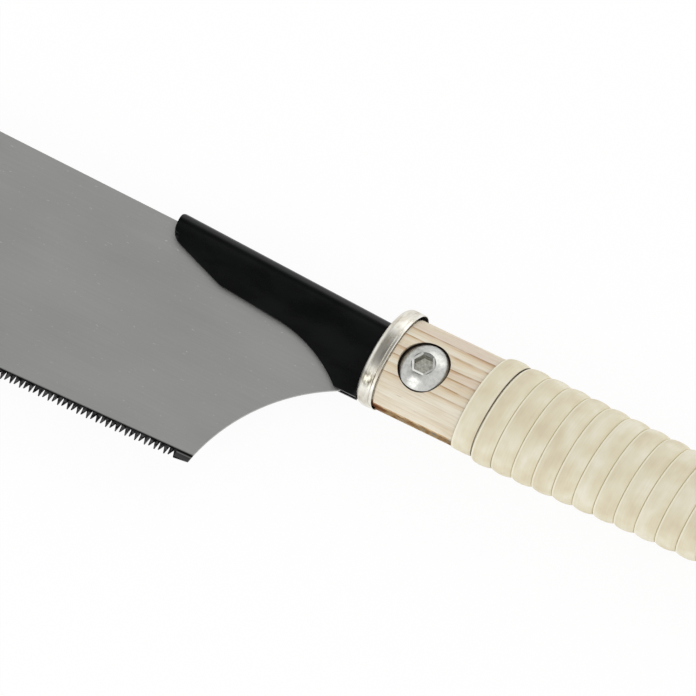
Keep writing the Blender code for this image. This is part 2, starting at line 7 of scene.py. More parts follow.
import logging
import math
from dataclasses import dataclass, field
from enum import Enum
from functools import partial
from typing import Any, Callable, Sequence

import bpy
from mathutils import Matrix, Vector

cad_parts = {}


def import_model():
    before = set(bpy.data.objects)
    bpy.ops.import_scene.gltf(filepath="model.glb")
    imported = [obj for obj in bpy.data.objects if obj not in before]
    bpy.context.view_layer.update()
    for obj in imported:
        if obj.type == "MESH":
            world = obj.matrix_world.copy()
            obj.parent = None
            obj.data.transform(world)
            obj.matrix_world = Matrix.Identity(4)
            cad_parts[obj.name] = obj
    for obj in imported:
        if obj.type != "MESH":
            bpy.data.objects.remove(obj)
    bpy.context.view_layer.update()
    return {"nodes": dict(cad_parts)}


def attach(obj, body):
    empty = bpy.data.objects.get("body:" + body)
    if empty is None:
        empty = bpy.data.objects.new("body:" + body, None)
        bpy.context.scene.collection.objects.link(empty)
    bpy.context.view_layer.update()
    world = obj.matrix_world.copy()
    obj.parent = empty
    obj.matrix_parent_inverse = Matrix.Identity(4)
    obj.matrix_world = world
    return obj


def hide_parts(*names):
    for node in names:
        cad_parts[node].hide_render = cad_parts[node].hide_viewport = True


LOG = logging.getLogger("kataba_saw")
PICTURE_PIXELS = 696
MERGE_DISTANCE = 1e-6
HANDLE_BODY = "handle"
HANDLE_LENGTH = 0.250
FERRULE_LENGTH = 0.0053
WRAP_TURNS = 24
BOLT_PLACE = (0.01467, -0.00094)
BOLT_HOLE_RADIUS = 0.0043
HEAD_POCKET_RADIUS = 0.0072
FINE_ROUND = 128
SMOOTH_STEP = {"interpolation_type": "SMOOTHSTEP"}
MULTIPLY = {"blend_type": "MULTIPLY"}
Point = tuple[float, float]


class Slot(Enum):
    """The record's material slots of the new pieces."""

    BLACK_ENAMEL = "black_enamel"
    BRIGHT_STEEL = "bright_steel"
    PLATED_STEEL = "plated_steel"
    HANDLE_WOOD = "handle_wood"
    RATTAN = "rattan"


class Axis(Enum):
    """The direction in which a lofted piece grows."""

    ALONG = "x"
    UP = "z"


def along(place: float) -> float:
    """World x of a place given from the front of the ferrule."""
    return place - HANDLE_LENGTH


def eased(start: float, end: float, share: float) -> float:
    """A value that leaves start and reaches end with no slope."""
    share = min(max(share, 0.0), 1.0)
    return start + (end - start) * share * share * (3 - 2 * share)


def arc(centre: Point, radius: float, start: float, end: float, steps: int) -> list[Point]:
    """Points of an arc from one angle to another, both ends included."""
    angles = [start + (end - start) * step / steps for step in range(steps + 1)]
    return [(centre[0] + radius * math.cos(a), centre[1] + radius * math.sin(a)) for a in angles]


def hexagon(corner: float) -> list[Point]:
    """Corners of a hexagon about the origin, the first of them on x."""
    angles = [step * math.pi / 3 for step in range(6)]
    return [(corner * math.cos(a), corner * math.sin(a)) for a in angles]


def mirrored(half: list[Point]) -> list[Point]:
    """A profile of radius and height, completed by its own image below or above z = 0."""
    return half + [(r, -z) for r, z in reversed(half)]


def turned_to(start: float, end: float) -> float:
    """The angle end, moved by whole turns to within half a turn of start."""
    return start + (end - start + math.pi) % (2 * math.pi) - math.pi


def rounded(corners: Sequence[tuple[float, float, float]], steps: int) -> list[Point]:
    """Points of a closed outline whose corners are rounded.

    Args:
        corners: x, y and the radius of each corner, 0 for a sharp one.
        steps: chords of each rounding.

    Returns:
        The outline's points in order.
    """
    points: list[Point] = []
    for index, (x, y, radius) in enumerate(corners):
        corner = Vector((x, y))
        if not radius:
            points.append((x, y))
            continue
        before = (Vector(corners[index - 1][:2]) - corner).normalized()
        after = (Vector(corners[(index + 1) % len(corners)][:2]) - corner).normalized()
        half = before.angle(after) / 2
        centre = corner + (before + after).normalized() * (radius / math.sin(half))
        reach = radius / math.tan(half)
        first = corner + before * reach - centre
        last = corner + after * reach - centre
        start = math.atan2(first.y, first.x)
        points += arc(tuple(centre), radius, start, turned_to(start, math.atan2(last.y, last.x)), steps)
    return points


def deselect_all() -> None:
    """Leaves edit mode and clears the selection."""
    if bpy.context.mode != "OBJECT":
        bpy.ops.object.mode_set(mode="OBJECT")
    bpy.ops.object.select_all(action="DESELECT")


def pick(piece: bpy.types.Object) -> None:
    """Makes a piece the only one selected, and the active one.

    Args:
        piece: the object.
    """
    deselect_all()
    piece.select_set(True)
    bpy.context.view_layer.objects.active = piece


def new_piece(name: str) -> bpy.types.Object:
    """Names the primitive just added and puts its place into its mesh.

    Args:
        name: the name of the object and its mesh.

    Returns:
        The object.
    """
    piece = bpy.context.active_object
    piece.name = name
    piece.data.name = name
    bpy.ops.object.transform_apply(location=True, rotation=True, scale=True)
    return piece


def in_edit(piece: bpy.types.Object, work: Callable[[], Any]) -> None:
    """Runs edit-mode operators with the whole of a piece selected.

    Args:
        piece: the object that they change.
        work: calls the operators.
    """
    pick(piece)
    bpy.ops.object.mode_set(mode="EDIT")
    bpy.ops.mesh.select_all(action="SELECT")
    work()
    bpy.ops.object.mode_set(mode="OBJECT")


def close_and_face_out() -> None:
    """Merges doubles, fills open ends and turns the faces outwards; runs in edit mode."""
    bpy.ops.mesh.select_all(action="SELECT")
    bpy.ops.mesh.remove_doubles(threshold=MERGE_DISTANCE)
    bpy.ops.mesh.fill_holes(sides=0)
    bpy.ops.mesh.select_all(action="SELECT")
    bpy.ops.mesh.normals_make_consistent(inside=False)


def apply_modifier(piece: bpy.types.Object, kind: str, **settings: Any) -> None:
    """Adds a modifier with its settings and applies it.

    Args:
        piece: the object that it changes.
        kind: Blender's name of the modifier's type.
        settings: its properties.
    """
    pick(piece)
    step = piece.modifiers.new(kind.lower(), kind)
    for name, value in settings.items():
        setattr(step, name, value)
    bpy.ops.object.modifier_apply(modifier=step.name)


def combine(piece: bpy.types.Object, tool: bpy.types.Object, operation: str = "DIFFERENCE") -> None:
    """Cuts a piece by a tool, or keeps what both share, and removes the tool."""
    apply_modifier(piece, "BOOLEAN", object=tool, operation=operation, solver="EXACT")
    bpy.data.objects.remove(tool, do_unlink=True)


def smooth(piece: bpy.types.Object, angle: float) -> None:
    """Shades a piece smooth except at edges sharper than the angle, in degrees."""
    pick(piece)
    bpy.ops.object.shade_smooth_by_angle(angle=math.radians(angle))


@dataclass(frozen=True)
class Ring:
    """One oval of a lofted piece: its place on the axis, its two half sizes and its centre's height."""

    place: float
    half_height: float
    half_width: float
    centre: float = 0.0


def lofted(name: str, rings: Sequence[Ring], axis: Axis, steps: int) -> bpy.types.Object:
    """A closed piece drawn ring by ring: a circle, then extruded and resized to each oval in turn.

    Args:
        name: the piece's name.
        rings: its ovals in order; a last one equal to the first closes a hollow ring.
        axis: the way that it grows.
        steps: points round each oval.

    Returns:
        The finished object.
    """
    tilt = (0.0, math.pi / 2, 0.0) if axis is Axis.ALONG else (0.0, 0.0, 0.0)

    def spot(ring: Ring) -> Vector:
        """The oval's middle."""
        if axis is Axis.ALONG:
            return Vector((ring.place, ring.centre, 0.0))
        return Vector((0.0, 0.0, ring.place))

    def factors(height: float, width: float) -> tuple[float, float, float]:
        """The growth along x, y and z that makes an oval so much higher and wider."""
        return (1.0, height, width) if axis is Axis.ALONG else (width, height, 1.0)

    deselect_all()
    first = rings[0]
    bpy.ops.mesh.primitive_circle_add(vertices=steps, radius=1.0, location=spot(first), rotation=tilt)
    piece = new_piece(name)

    def draw() -> None:
        """Sizes the circle and extrudes it through the rings."""
        size = factors(first.half_height, first.half_width)
        bpy.ops.transform.resize(value=size, center_override=spot(first))
        for before, ring in zip(rings, rings[1:]):
            step = spot(ring) - spot(before)
            bpy.ops.mesh.extrude_region_move(TRANSFORM_OT_translate={"value": step})
            size = factors(ring.half_height / before.half_height, ring.half_width / before.half_width)
            bpy.ops.transform.resize(value=size, center_override=spot(ring))
        close_and_face_out()

    in_edit(piece, draw)
    return piece


def turned_piece(name: str, profile: Sequence[Point], steps: int = 96) -> bpy.types.Object:
    """A piece turned about the upright axis from a profile of radius and height."""
    return lofted(name, [Ring(z, r, r) for r, z in profile], Axis.UP, steps)


def moved(piece: bpy.types.Object, offset: Sequence[float]) -> bpy.types.Object:
    """Moves a piece's mesh by an offset, with its object left at the origin."""
    in_edit(piece, lambda: bpy.ops.transform.translate(value=offset))
    return piece


def slab(name: str, outline: Sequence[Point], low: float, high: float) -> bpy.types.Object:
    """A closed plate of a flat outline between two heights.

    Args:
        name: the plate's name.
        outline: its points in x and y.
        low: its lower z.
        high: its upper z.

    Returns:
        The object.
    """
    deselect_all()
    bpy.ops.mesh.primitive_circle_add(vertices=len(outline), radius=1.0, fill_type="NGON")
    piece = new_piece(name)
    piece.data.vertices.foreach_set("co", [value for x, y in outline for value in (x, y, low)])

    def raise_it() -> None:
        """Extrudes the outline to its upper height."""
        bpy.ops.mesh.extrude_region_move(TRANSFORM_OT_translate={"value": (0, 0, high - low)})
        close_and_face_out()

    in_edit(piece, raise_it)
    return piece


def mapped_grid(
    name: str, columns: int, rows: int, spot: Callable[[float, float], Sequence[float]]
) -> bpy.types.Object:
    """A grid laid on a surface, with the grid's own UV map kept.

    Args:
        name: the piece's name.
        columns: faces along u.
        rows: faces along v.
        spot: gives the point for u and v from 0 to 1.

    Returns:
        The object, open at its edges.
    """
    deselect_all()
    bpy.ops.mesh.primitive_grid_add(x_subdivisions=columns, y_subdivisions=rows, size=2.0)
    piece = new_piece(name)
    coordinates: list[float] = []
    for vertex in piece.data.vertices:
        coordinates.extend(spot((vertex.co.x + 1) / 2, (vertex.co.y + 1) / 2))
    piece.data.vertices.foreach_set("co", coordinates)
    return piece


def linear(hex_colour: str) -> tuple[float, float, float, float]:
    """An sRGB hex colour in linear light.

    Args:
        hex_colour: a hash sign and six hex digits.

    Returns:
        Its red, green, blue and alpha.
    """
    values = []
    for start in (1, 3, 5):
        value = int(hex_colour[start : start + 2], 16) / 255
        values.append(value / 12.92 if value <= 0.04045 else ((value + 0.055) / 1.055) ** 2.4)
    return (values[0], values[1], values[2], 1.0)


def add_node(
    tree: bpy.types.NodeTree,
    kind: str,
    inputs: Sequence[Any] | dict[str, Any] = (),
    stops: Sequence[tuple[float, str]] = (),
    **settings: Any,
) -> Any:
    """Adds a shader node with its settings, values and links.

    Args:
        tree: the node tree that takes it.
        kind: the node's type, without its ShaderNode prefix.
        inputs: a value or an output socket for each input, in their order or by name.
        stops: position and hex colour of each stop, for a colour ramp.
        settings: the node's own properties.

    Returns:
        The node's first output socket, from which the others are reached as socket.node.outputs.
    """
    node = tree.nodes.new("ShaderNode" + kind)
    for name, value in settings.items():
        setattr(node, name, value)
    for name, value in inputs.items() if isinstance(inputs, dict) else enumerate(inputs):
        if isinstance(value, bpy.types.NodeSocket):
            tree.links.new(value, node.inputs[name])
        else:
            node.inputs[name].default_value = value
    for index, (position, colour) in enumerate(stops):
        elements = node.color_ramp.elements
        element = elements[index] if index < len(elements) else elements.new(position)
        element.position = position
        element.color = linear(colour)
    return node.outputs[0]


def link_inputs(node: bpy.types.Node, sockets: dict[str, Any]) -> None:
    """Links each socket to the node's input of that name."""
    for name, socket in sockets.items():
        node.id_data.links.new(socket, node.inputs[name])


@dataclass(frozen=True)
class Grain:
    """A pattern's grain: its size along x, y and z in millimetres, and how finely it is broken up."""

    x: float
    y: float
    z: float
    detail: float = 3.0

    def over(self, add: Callable[..., Any], source: Any) -> Any:
        """The pattern's factor on a piece's coordinates.

        Args:
            add: adds a node to the material.
            source: the coordinates' socket.

        Returns:
            The factor's socket.
        """
        scale = tuple(1000.0 / size for size in (self.x, self.y, self.z))
        spread = add("Mapping", {"Vector": source, "Scale": scale})
        return add("TexNoise", {"Vector": spread, "Scale": 1.0, "Detail": self.detail})


@dataclass(frozen=True)
class Finish:
    """What every finish has: a name, a colour and the shader's plain values."""

    name: str
    colour: str
    roughness: float
    metallic: float = 0.0
    specular: float = 0.5

    def start(self) -> tuple[bpy.types.Material, Callable[..., Any], Any]:
        """Begins a material with this finish's plain values.

        Returns:
            The material, a function that adds nodes to it, and its shader.
        """
        made = bpy.data.materials.new(self.name)
        made.use_nodes = True
        shader = made.node_tree.nodes["Principled BSDF"]
        shader.inputs["Base Color"].default_value = linear(self.colour)
        shader.inputs["Roughness"].default_value = self.roughness
        shader.inputs["Metallic"].default_value = self.metallic
        shader.inputs["Specular IOR Level"].default_value = self.specular
        made.diffuse_color = linear(self.colour)
        return made, partial(add_node, made.node_tree), shader

    def material(self) -> bpy.types.Material:
        """The finish's material, plain where no finish of its own kind says more."""
        return self.start()[0]


@dataclass(frozen=True)
class BladeSteel(Finish):
    """Spring steel, ground satin along the blade; the teeth are dark from impulse hardening.

    The eye sees an even neutral grey with hardly any streak, a few light flecks, and a near-black tooth row
    with a soft upper edge, crossed by grey bands painted as the reflections of its facets. The grinding lines
    are drawn coarser than real ones, to show.
    """

    name: str = "ground_spring_steel"
    colour: str = "#B5B6B3"
    roughness: float = 0.55
    metallic: float = 1.0
    hair: Grain = Grain(26.0, 0.5, 40.0)
    cloud: Grain = Grain(40.0, 18.0, 60.0, 2.0)
    fleck: Grain = Grain(1.5, 0.5, 1.0, 1.0)
    mottle: Grain = Grain(0.7, 0.7, 0.7, 2.0)
    tooth_line_height: float = -0.0425
    tooth_line_slope: float = 0.0329
    tooth_band: float = 0.0032
    block: Point = (-0.03544, -0.03524)

    def material(self) -> bpy.types.Material:
        """Builds the satin ground, then the burnt tooth row over it.

        Returns:
            The material.
        """
        made, add, shader = self.start()
        source = add("TexCoord").node.outputs["Object"]
        split = add("SeparateXYZ", [source]).node.outputs
        hair = self.hair.over(add, source)
        ground = add("ValToRGB", [hair], ((0.25, "#B3B3B1"), (0.5, self.colour), (0.75, "#B8B8B6")))
        shade = add("ValToRGB", [self.cloud.over(add, source)], ((0.3, "#F6F6F6"), (0.7, "#FFFFFF")))
        steel = add("MixRGB", [1.0, ground, shade], **MULTIPLY)
        spark = add("MapRange", [self.fleck.over(add, source), 0.72, 0.80, 0.0, 0.4], **SMOOTH_STEP)
        steel = add("MixRGB", [spark, steel, linear("#E6E6E4")])
        line = [split["X"], -self.tooth_line_slope, -self.tooth_line_height]
        line = add("Math", line, operation="MULTIPLY_ADD")
        above = add("Math", [split["Y"], line], operation="ADD")
        level = add("Math", [above, self.tooth_band], operation="DIVIDE")
        # Painted reflection: lighter grey bands across the dark tooth row stand in for light mirrored by the
        # tooth facets.
        stops = ((0.0, "#4A4A4A"), (0.45, "#686868"), (0.66, "#464646"), (0.76, "#161616"))
        painted_facet_reflection = add("ValToRGB", [level], stops)
        mottle = self.mottle.over(add, source)
        mottle = add("ValToRGB", [mottle], ((0.40, "#3A3A3A"), (0.60, "#FFFFFF")))
        painted_facet_reflection = add("MixRGB", [0.9, painted_facet_reflection, mottle], **MULTIPLY)
        stops = ((0.06, "#121212"), (0.14, "#525252"), (0.48, "#4A4A4A"))
        stops += ((0.55, "#868684"), (0.62, "#4A4A4A"), (0.68, "#0C0C0C"))
        block = add("ValToRGB", [level], stops)
        start, end = map(along, self.block)
        behind = add("MapRange", [split["X"], start, end, 0.0, 1.0], **SMOOTH_STEP)
        dark = add("MixRGB", [behind, painted_facet_reflection, block])
        burn = add("MapRange", [level, 0.76, 0.94, 1.0, 0.0], **SMOOTH_STEP)
        colour = add("MixRGB", [burn, steel, dark])
        relief = add("Bump", {"Height": hair, "Strength": 0.03, "Distance": 0.00005})
        link_inputs(shader, {"Base Color": colour, "Normal": relief})
        return made


@dataclass(frozen=True)
class BlackEnamel(Finish):
    """Black stoving enamel on folded sheet: deep black, semi-gloss, with a faint orange-peel."""

    name: str = "black_stove_enamel"
    colour: str = "#040606"
    roughness: float = 0.27
    specular: float = 0.3
    peel: Grain = Grain(0.6, 0.6, 0.6, 2.0)
    wear: Grain = Grain(14.0, 6.0, 6.0, 4.0)

    def material(self) -> bpy.types.Material:
        """Builds the black with its uneven gloss.

        Returns:
            The material.
        """
        made, add, shader = self.start()
        source = add("TexCoord").node.outputs["Object"]
        wear = self.wear.over(add, source)
        tint = add("ValToRGB", [wear], ((0.35, "#030404"), (0.75, "#070909")))
        gloss = add("MapRange", [wear, 0.3, 0.7, 0.25, 0.31], **SMOOTH_STEP)
        peel = self.peel.over(add, source)
        relief = add("Bump", {"Height": peel, "Strength": 0.06, "Distance": 0.00005})
        link_inputs(shader, {"Base Color": tint, "Roughness": gloss, "Normal": relief})
        return made


@dataclass(frozen=True)
class PlatedSteel(Finish):
    """Nickel-plated pressed steel: pale and a little warm, with specks, and smudges and drawn streaks that
    are partly painted reflections of dark surroundings.

    The tooth side has a patch of painted reflection, where dark and light spots lie close together and dim
    the lamp's mirror image.
    """

    name: str = "nickel_plated_steel"
    colour: str = "#E1DDD2"
    roughness: float = 0.35
    metallic: float = 1.0
    smudge_and_reflection: Grain = Grain(3.0, 5.0, 5.0)
    drawn: Grain = Grain(0.5, 6.0, 6.0)
    speck: Grain = Grain(0.5, 0.5, 0.5, 1.0)
    speckled_reflection: Grain = Grain(0.9, 2.2, 2.2, 4.0)
    dent: Grain = Grain(1.2, 1.6, 1.6, 1.0)
    # Place and reach of the painted reflection patch on the tooth side.
    painted_reflection_spot: tuple[float, float, float] = (0.0021, -0.0102, 0.0075)
    painted_reflection_reach: Point = (0.0010, 0.0034)

    def material(self) -> bpy.types.Material:
        """Builds the plating with its specks, smudges and painted reflections.

        Returns:
            The material.
        """
        made, add, shader = self.start()
        source = add("TexCoord").node.outputs["Object"]
        # Painted reflection in part: the smudge clouds and the drawn streaks darken the plating as mirrored
        # dark surroundings would.
        smudge_and_reflection = self.smudge_and_reflection.over(add, source)
        base = add("ValToRGB", [smudge_and_reflection], ((0.32, "#CBC4B6"), (0.46, self.colour), (0.60, "#ECEAE2")))
        lines = add("ValToRGB", [self.drawn.over(add, source)], ((0.32, "#CFC8BA"), (0.50, "#FFFFFF")))
        mixed = add("MixRGB", [0.4, base, lines], **MULTIPLY)
        dots = add("ValToRGB", [self.speck.over(add, source)], ((0.70, "#FFFFFF"), (0.78, "#847C6E")))
        mixed = add("MixRGB", [0.5, mixed, dots], **MULTIPLY)
        # Painted reflection: a mottled dark and light patch on the tooth side stands in for speckled
        # reflections and dims the lamp's highlight.
        spot = (along(self.painted_reflection_spot[0]), *self.painted_reflection_spot[1:])
        away = add("VectorMath", [source, spot], operation="DISTANCE").node.outputs["Value"]
        painted_reflection_patch = add("MapRange", [away, *self.painted_reflection_reach, 1.0, 0.0], **SMOOTH_STEP)
        speckled_reflection = add("ValToRGB", [self.speckled_reflection.over(add, source)], ((0.40, "#6E6A60"), (0.62, "#E6E4DC")))
        colour = add("MixRGB", [painted_reflection_patch, mixed, speckled_reflection], **MULTIPLY)
        gloss = add("MapRange", [smudge_and_reflection, 0.3, 0.7, 0.40, 0.30], **SMOOTH_STEP)
        dent = self.dent.over(add, source)
        relief = add("Bump", {"Height": dent, "Strength": 0.2, "Distance": 0.0001})
        link_inputs(shader, {"Base Color": colour, "Roughness": gloss, "Normal": relief})
        return made


@dataclass(frozen=True)
class BrightSteel(Finish):
    """Stainless fastener steel, cold-formed and tumbled: bright satin, faintly mottled."""

    name: str = "stainless_fastener_steel"
    colour: str = "#C2C2BE"
    roughness: float = 0.31
    metallic: float = 1.0
    tumbled: Grain = Grain(0.9, 0.9, 0.9)

    def material(self) -> bpy.types.Material:
        """Builds the tumbled steel.

        Returns:
            The material.
        """
        made, add, shader = self.start()
        tumbled = self.tumbled.over(add, add("TexCoord").node.outputs["Object"])
        tint = add("ValToRGB", [tumbled], ((0.3, "#B6B6B2"), (0.6, "#CACAC6")))
        gloss = add("MapRange", [tumbled, 0.3, 0.7, 0.34, 0.27], **SMOOTH_STEP)
        relief = add("Bump", {"Height": tumbled, "Strength": 0.10, "Distance": 0.0001})
        link_inputs(shader, {"Base Color": tint, "Roughness": gloss, "Normal": relief})
        return made


@dataclass(frozen=True)
class DullSteelPaintedLight(Finish):
    """Dull, scaly steel whose colour is painted light: shade inside a ring and on a socket's walls, a dark
    reflection on a rim, a lit pale socket floor.
    """

    name: str = "dull_steel_painted_light"
    colour: str = "#5A5955"
    roughness: float = 0.6
    metallic: float = 0.6
    scale_colour: str = "#33312D"
    scale: Grain = Grain(0.8, 0.8, 0.8)

    def material(self) -> bpy.types.Material:
        """Builds the scaly steel.

        Returns:
            The material.
        """
        made, add, shader = self.start()
        scale = self.scale.over(add, add("TexCoord").node.outputs["Object"])
        tint = add("ValToRGB", [scale], ((0.35, self.scale_colour), (0.65, self.colour)))
        relief = add("Bump", {"Height": scale, "Strength": 0.15, "Distance": 0.0001})
        link_inputs(shader, {"Base Color": tint, "Normal": relief})
        return made


@dataclass(frozen=True)
class PaleOak(Finish):
    """Bare ring-porous oak, turned and sanded: cream, with brown grain lines and pinkish patches.

    The lines run along the handle and fade towards its two narrow sides. Along the tooth side, next to the
    sawn kerf, the wood is painted brown as shade, and red-brown beside the ferrule.
    """

    name: str = "bare_pale_oak"
    colour: str = "#E2D8C3"
    roughness: float = 0.62
    specular: float = 0.3
    cloud: Grain = Grain(24.0, 6.0, 8.0, 2.0)
    drift: Grain = Grain(90.0, 9.0, 12.0, 2.0)
    dash: Grain = Grain(7.0, 1.2, 2.0, 2.0)
    pore: Grain = Grain(6.0, 0.4, 0.4, 2.0)
    fibre: Grain = Grain(7.0, 0.25, 0.25, 2.0)
    rust_and_shade: Grain = Grain(2.4, 0.8, 0.8)
    ring_spacing_mm: float = 3.1
    ring_drift: float = 2.2
    fade_low: Point = (-0.0085, -0.0055)
    fade_high: Point = (0.0080, 0.0105)
    painted_shade_rim_width: Point = (0.00002, 0.00012)
    painted_shade_rim_depth: Point = (0.0092, 0.0098)
    painted_shade_top: Point = (0.0020, 0.0022)
    painted_shade_bottom: Point = (-0.0065, -0.0045)
    painted_shade_edge: Point = (-0.0124, -0.0120)
    painted_shade_end: Point = (0.045, 0.065)
    red_reach: float = 0.004

    def grained(self, add: Callable[..., Any], source: Any, height: Any, fibre: Any) -> Any:
        """The clean wood: growth rings, fibres and open pores on a cream ground.

        Args:
            add: adds a node to the material.
            source: the piece's coordinates.
            height: their y.
            fibre: the fibres' factor.

        Returns:
            The colour's socket.
        """
        cloud = self.cloud.over(add, source)
        ground = add("ValToRGB", [cloud], ((0.34, "#DED0C0"), (0.48, self.colour), (0.64, "#EAE3D2")))
        drift = add("Math", [self.drift.over(add, source), self.ring_drift], operation="MULTIPLY")
        turn = add("Math", [height, 1000 / self.ring_spacing_mm, drift], operation="MULTIPLY_ADD")
        turn = add("Math", [turn], operation="FRACT")
        stops = ((0.05, "#FFFFFF"), (0.50, "#FBF5EC"), (0.80, "#EBD8BF"))
        stops += ((0.90, "#D0B28E"), (0.95, "#A9855E"), (1.0, "#FFFFFF"))
        lines = add("ValToRGB", [turn], stops)
        weight = add("MapRange", [self.dash.over(add, source), 0.36, 0.56, 0.35, 0.9], **SMOOTH_STEP)
        for ends in ((*self.fade_low, 0.2, 1.0), (*self.fade_high, 1.0, 0.2)):
            fade = add("MapRange", [height, *ends], **SMOOTH_STEP)
            weight = add("Math", [weight, fade], operation="MULTIPLY")
        wood = add("MixRGB", [weight, ground, lines], **MULTIPLY)
        thread = add("ValToRGB", [fibre], ((0.30, "#F2ECE3"), (0.60, "#FFFFFF")))
        wood = add("MixRGB", [0.8, wood, thread], **MULTIPLY)
        pore = add("MapRange", [self.pore.over(add, source), 0.66, 0.76, 0.0, 0.45], **SMOOTH_STEP)
        return add("MixRGB", [pore, wood, linear("#A99B86")])

    def material(self) -> bpy.types.Material:
        """Builds the wood, with painted shade round the bolt's pocket and along the kerf.

        Returns:
            The material.
        """
        made, add, shader = self.start()
        source = add("TexCoord").node.outputs["Object"]
        split = add("SeparateXYZ", [source]).node.outputs
        fibre = self.fibre.over(add, source)
        wood = self.grained(add, source, split["Y"], fibre)
        # Painted shade: dark brown on the wood round the bolt head's pocket, full down in the pocket and
        # weaker near its mouth.
        spot = (along(BOLT_PLACE[0]), BOLT_PLACE[1], 0.0)
        away = add("VectorMath", [source, spot], operation="SUBTRACT")
        away = add("VectorMath", [away, (1.0, 1.0, 0.0)], operation="MULTIPLY")
        away = add("VectorMath", [away], operation="LENGTH").node.outputs["Value"]
        start, end = (HEAD_POCKET_RADIUS + width for width in self.painted_shade_rim_width)
        rim = add("MapRange", [away, start, end, 1.0, 0.0], **SMOOTH_STEP)
        deep = add("MapRange", [split["Z"], *self.painted_shade_rim_depth, 1.0, 0.25], **SMOOTH_STEP)
        rim = add("Math", [rim, deep], operation="MULTIPLY")
        wood = add("MixRGB", [rim, wood, linear("#2E211A")])
        # Painted shade: brown over the kerf's inner wall and the lip below it on the tooth side, fading out
        # along the handle, red-brown near the ferrule.
        painted_kerf_shade = add("MapRange", [split["Z"], *self.painted_shade_top, 1.0, 0.0], **SMOOTH_STEP)
        for name, ends in (
            ("Z", (*self.painted_shade_bottom, 0.0, 1.0)),
            ("Y", (*self.painted_shade_edge, 1.0, 0.0)),
            ("X", (*map(along, self.painted_shade_end), 1.0, 0.0)),
        ):
            part = add("MapRange", [split[name], *ends], **SMOOTH_STEP)
            painted_kerf_shade = add("Math", [painted_kerf_shade, part], operation="MULTIPLY")
        stops = ((0.30, "#8A6440"), (0.44, "#B8946A"), (0.56, "#CDB48C"), (0.70, "#ADA89C"))
        rust_and_shade = add("ValToRGB", [self.rust_and_shade.over(add, source)], stops)
        start, end = along(FERRULE_LENGTH), along(FERRULE_LENGTH + self.red_reach)
        near = add("MapRange", [split["X"], start, end, 0.75, 0.0], **SMOOTH_STEP)
        rust_and_shade = add("MixRGB", [near, rust_and_shade, linear("#86401F")])
        colour = add("MixRGB", [painted_kerf_shade, wood, rust_and_shade])
        relief = add("Bump", {"Height": fibre, "Strength": 0.12, "Distance": 0.0001})
        link_inputs(shader, {"Base Color": colour, "Normal": relief})
        return made


@dataclass(frozen=True)
class PeeledRattan(Finish):
    """Peeled flat rattan: smooth satin cream with soft clouds, a painted highlight on the front edge and tan
    cut sides.

    The first turn's sides are painted near-black as the shade of its open seam, and the other cut sides' tan
    also stands in for seam shade. The strip's UV map runs round its section in u, from the middle of its
    underside, and along it in v.
    """

    name: str = "peeled_rattan"
    colour: str = "#E0D8BE"
    roughness: float = 0.5
    specular: float = 0.35
    length_mm: float = 1900.0
    section_mm: float = 13.5
    fibre: Grain = Grain(0.3, 16.0, 1.0)
    cloud: Grain = Grain(4.0, 8.0, 1.0, 2.0)
    seam_shade_turns: Point = (1.0, 1.5)

    def material(self) -> bpy.types.Material:
        """Builds the peeled top, its painted edge highlight and the cut sides with their painted seam shade.

        Returns:
            The material.
        """
        made, add, shader = self.start()
        source = add("TexCoord").node.outputs["UV"]
        split = add("SeparateXYZ", [source]).node.outputs
        scale = (self.section_mm / 1000, self.length_mm / 1000, 1.0)
        strip = add("Mapping", {"Vector": source, "Scale": scale})
        fibre = self.fibre.over(add, strip)
        cloud = self.cloud.over(add, strip)
        ground = add("ValToRGB", [cloud], ((0.30, "#D8CDB2"), (0.5, self.colour), (0.70, "#E9E4D1")))
        thread = add("ValToRGB", [fibre], ((0.30, "#F4EFE2"), (0.60, "#FFFFFF")))
        top = add("MixRGB", [0.35, ground, thread], **MULTIPLY)
        # Painted highlight: a pale line along the strip's front edge, where the rounded edge catches the
        # light.
        stops = ((0.345, "#000000"), (0.36, "#FFFFFF"), (0.375, "#FFFFFF"), (0.395, "#000000"))
        pale = add("ValToRGB", [split["X"]], stops)
        top = add("MixRGB", [pale, top, linear("#F0EBD6")])
        # Painted shade in part: the cut sides are tan, and near-black on the first turn, as the seam's shade.
        stops = ((0.31, "#FFFFFF"), (0.345, "#000000"), (0.64, "#000000"), (0.68, "#FFFFFF"))
        cut = add("ValToRGB", [split["X"]], stops)
        start, end = (turn / WRAP_TURNS for turn in self.seam_shade_turns)
        first = add("MapRange", [split["Y"], start, end, 1.0, 0.0], **SMOOTH_STEP)
        side = add("MixRGB", [first, linear("#D3C7A1"), linear("#1C1208")])
        colour = add("MixRGB", [cut, top, side])
        relief = add("Bump", {"Height": fibre, "Strength": 0.04, "Distance": 0.00008})
        link_inputs(shader, {"Base Color": colour, "Normal": relief})
        return made


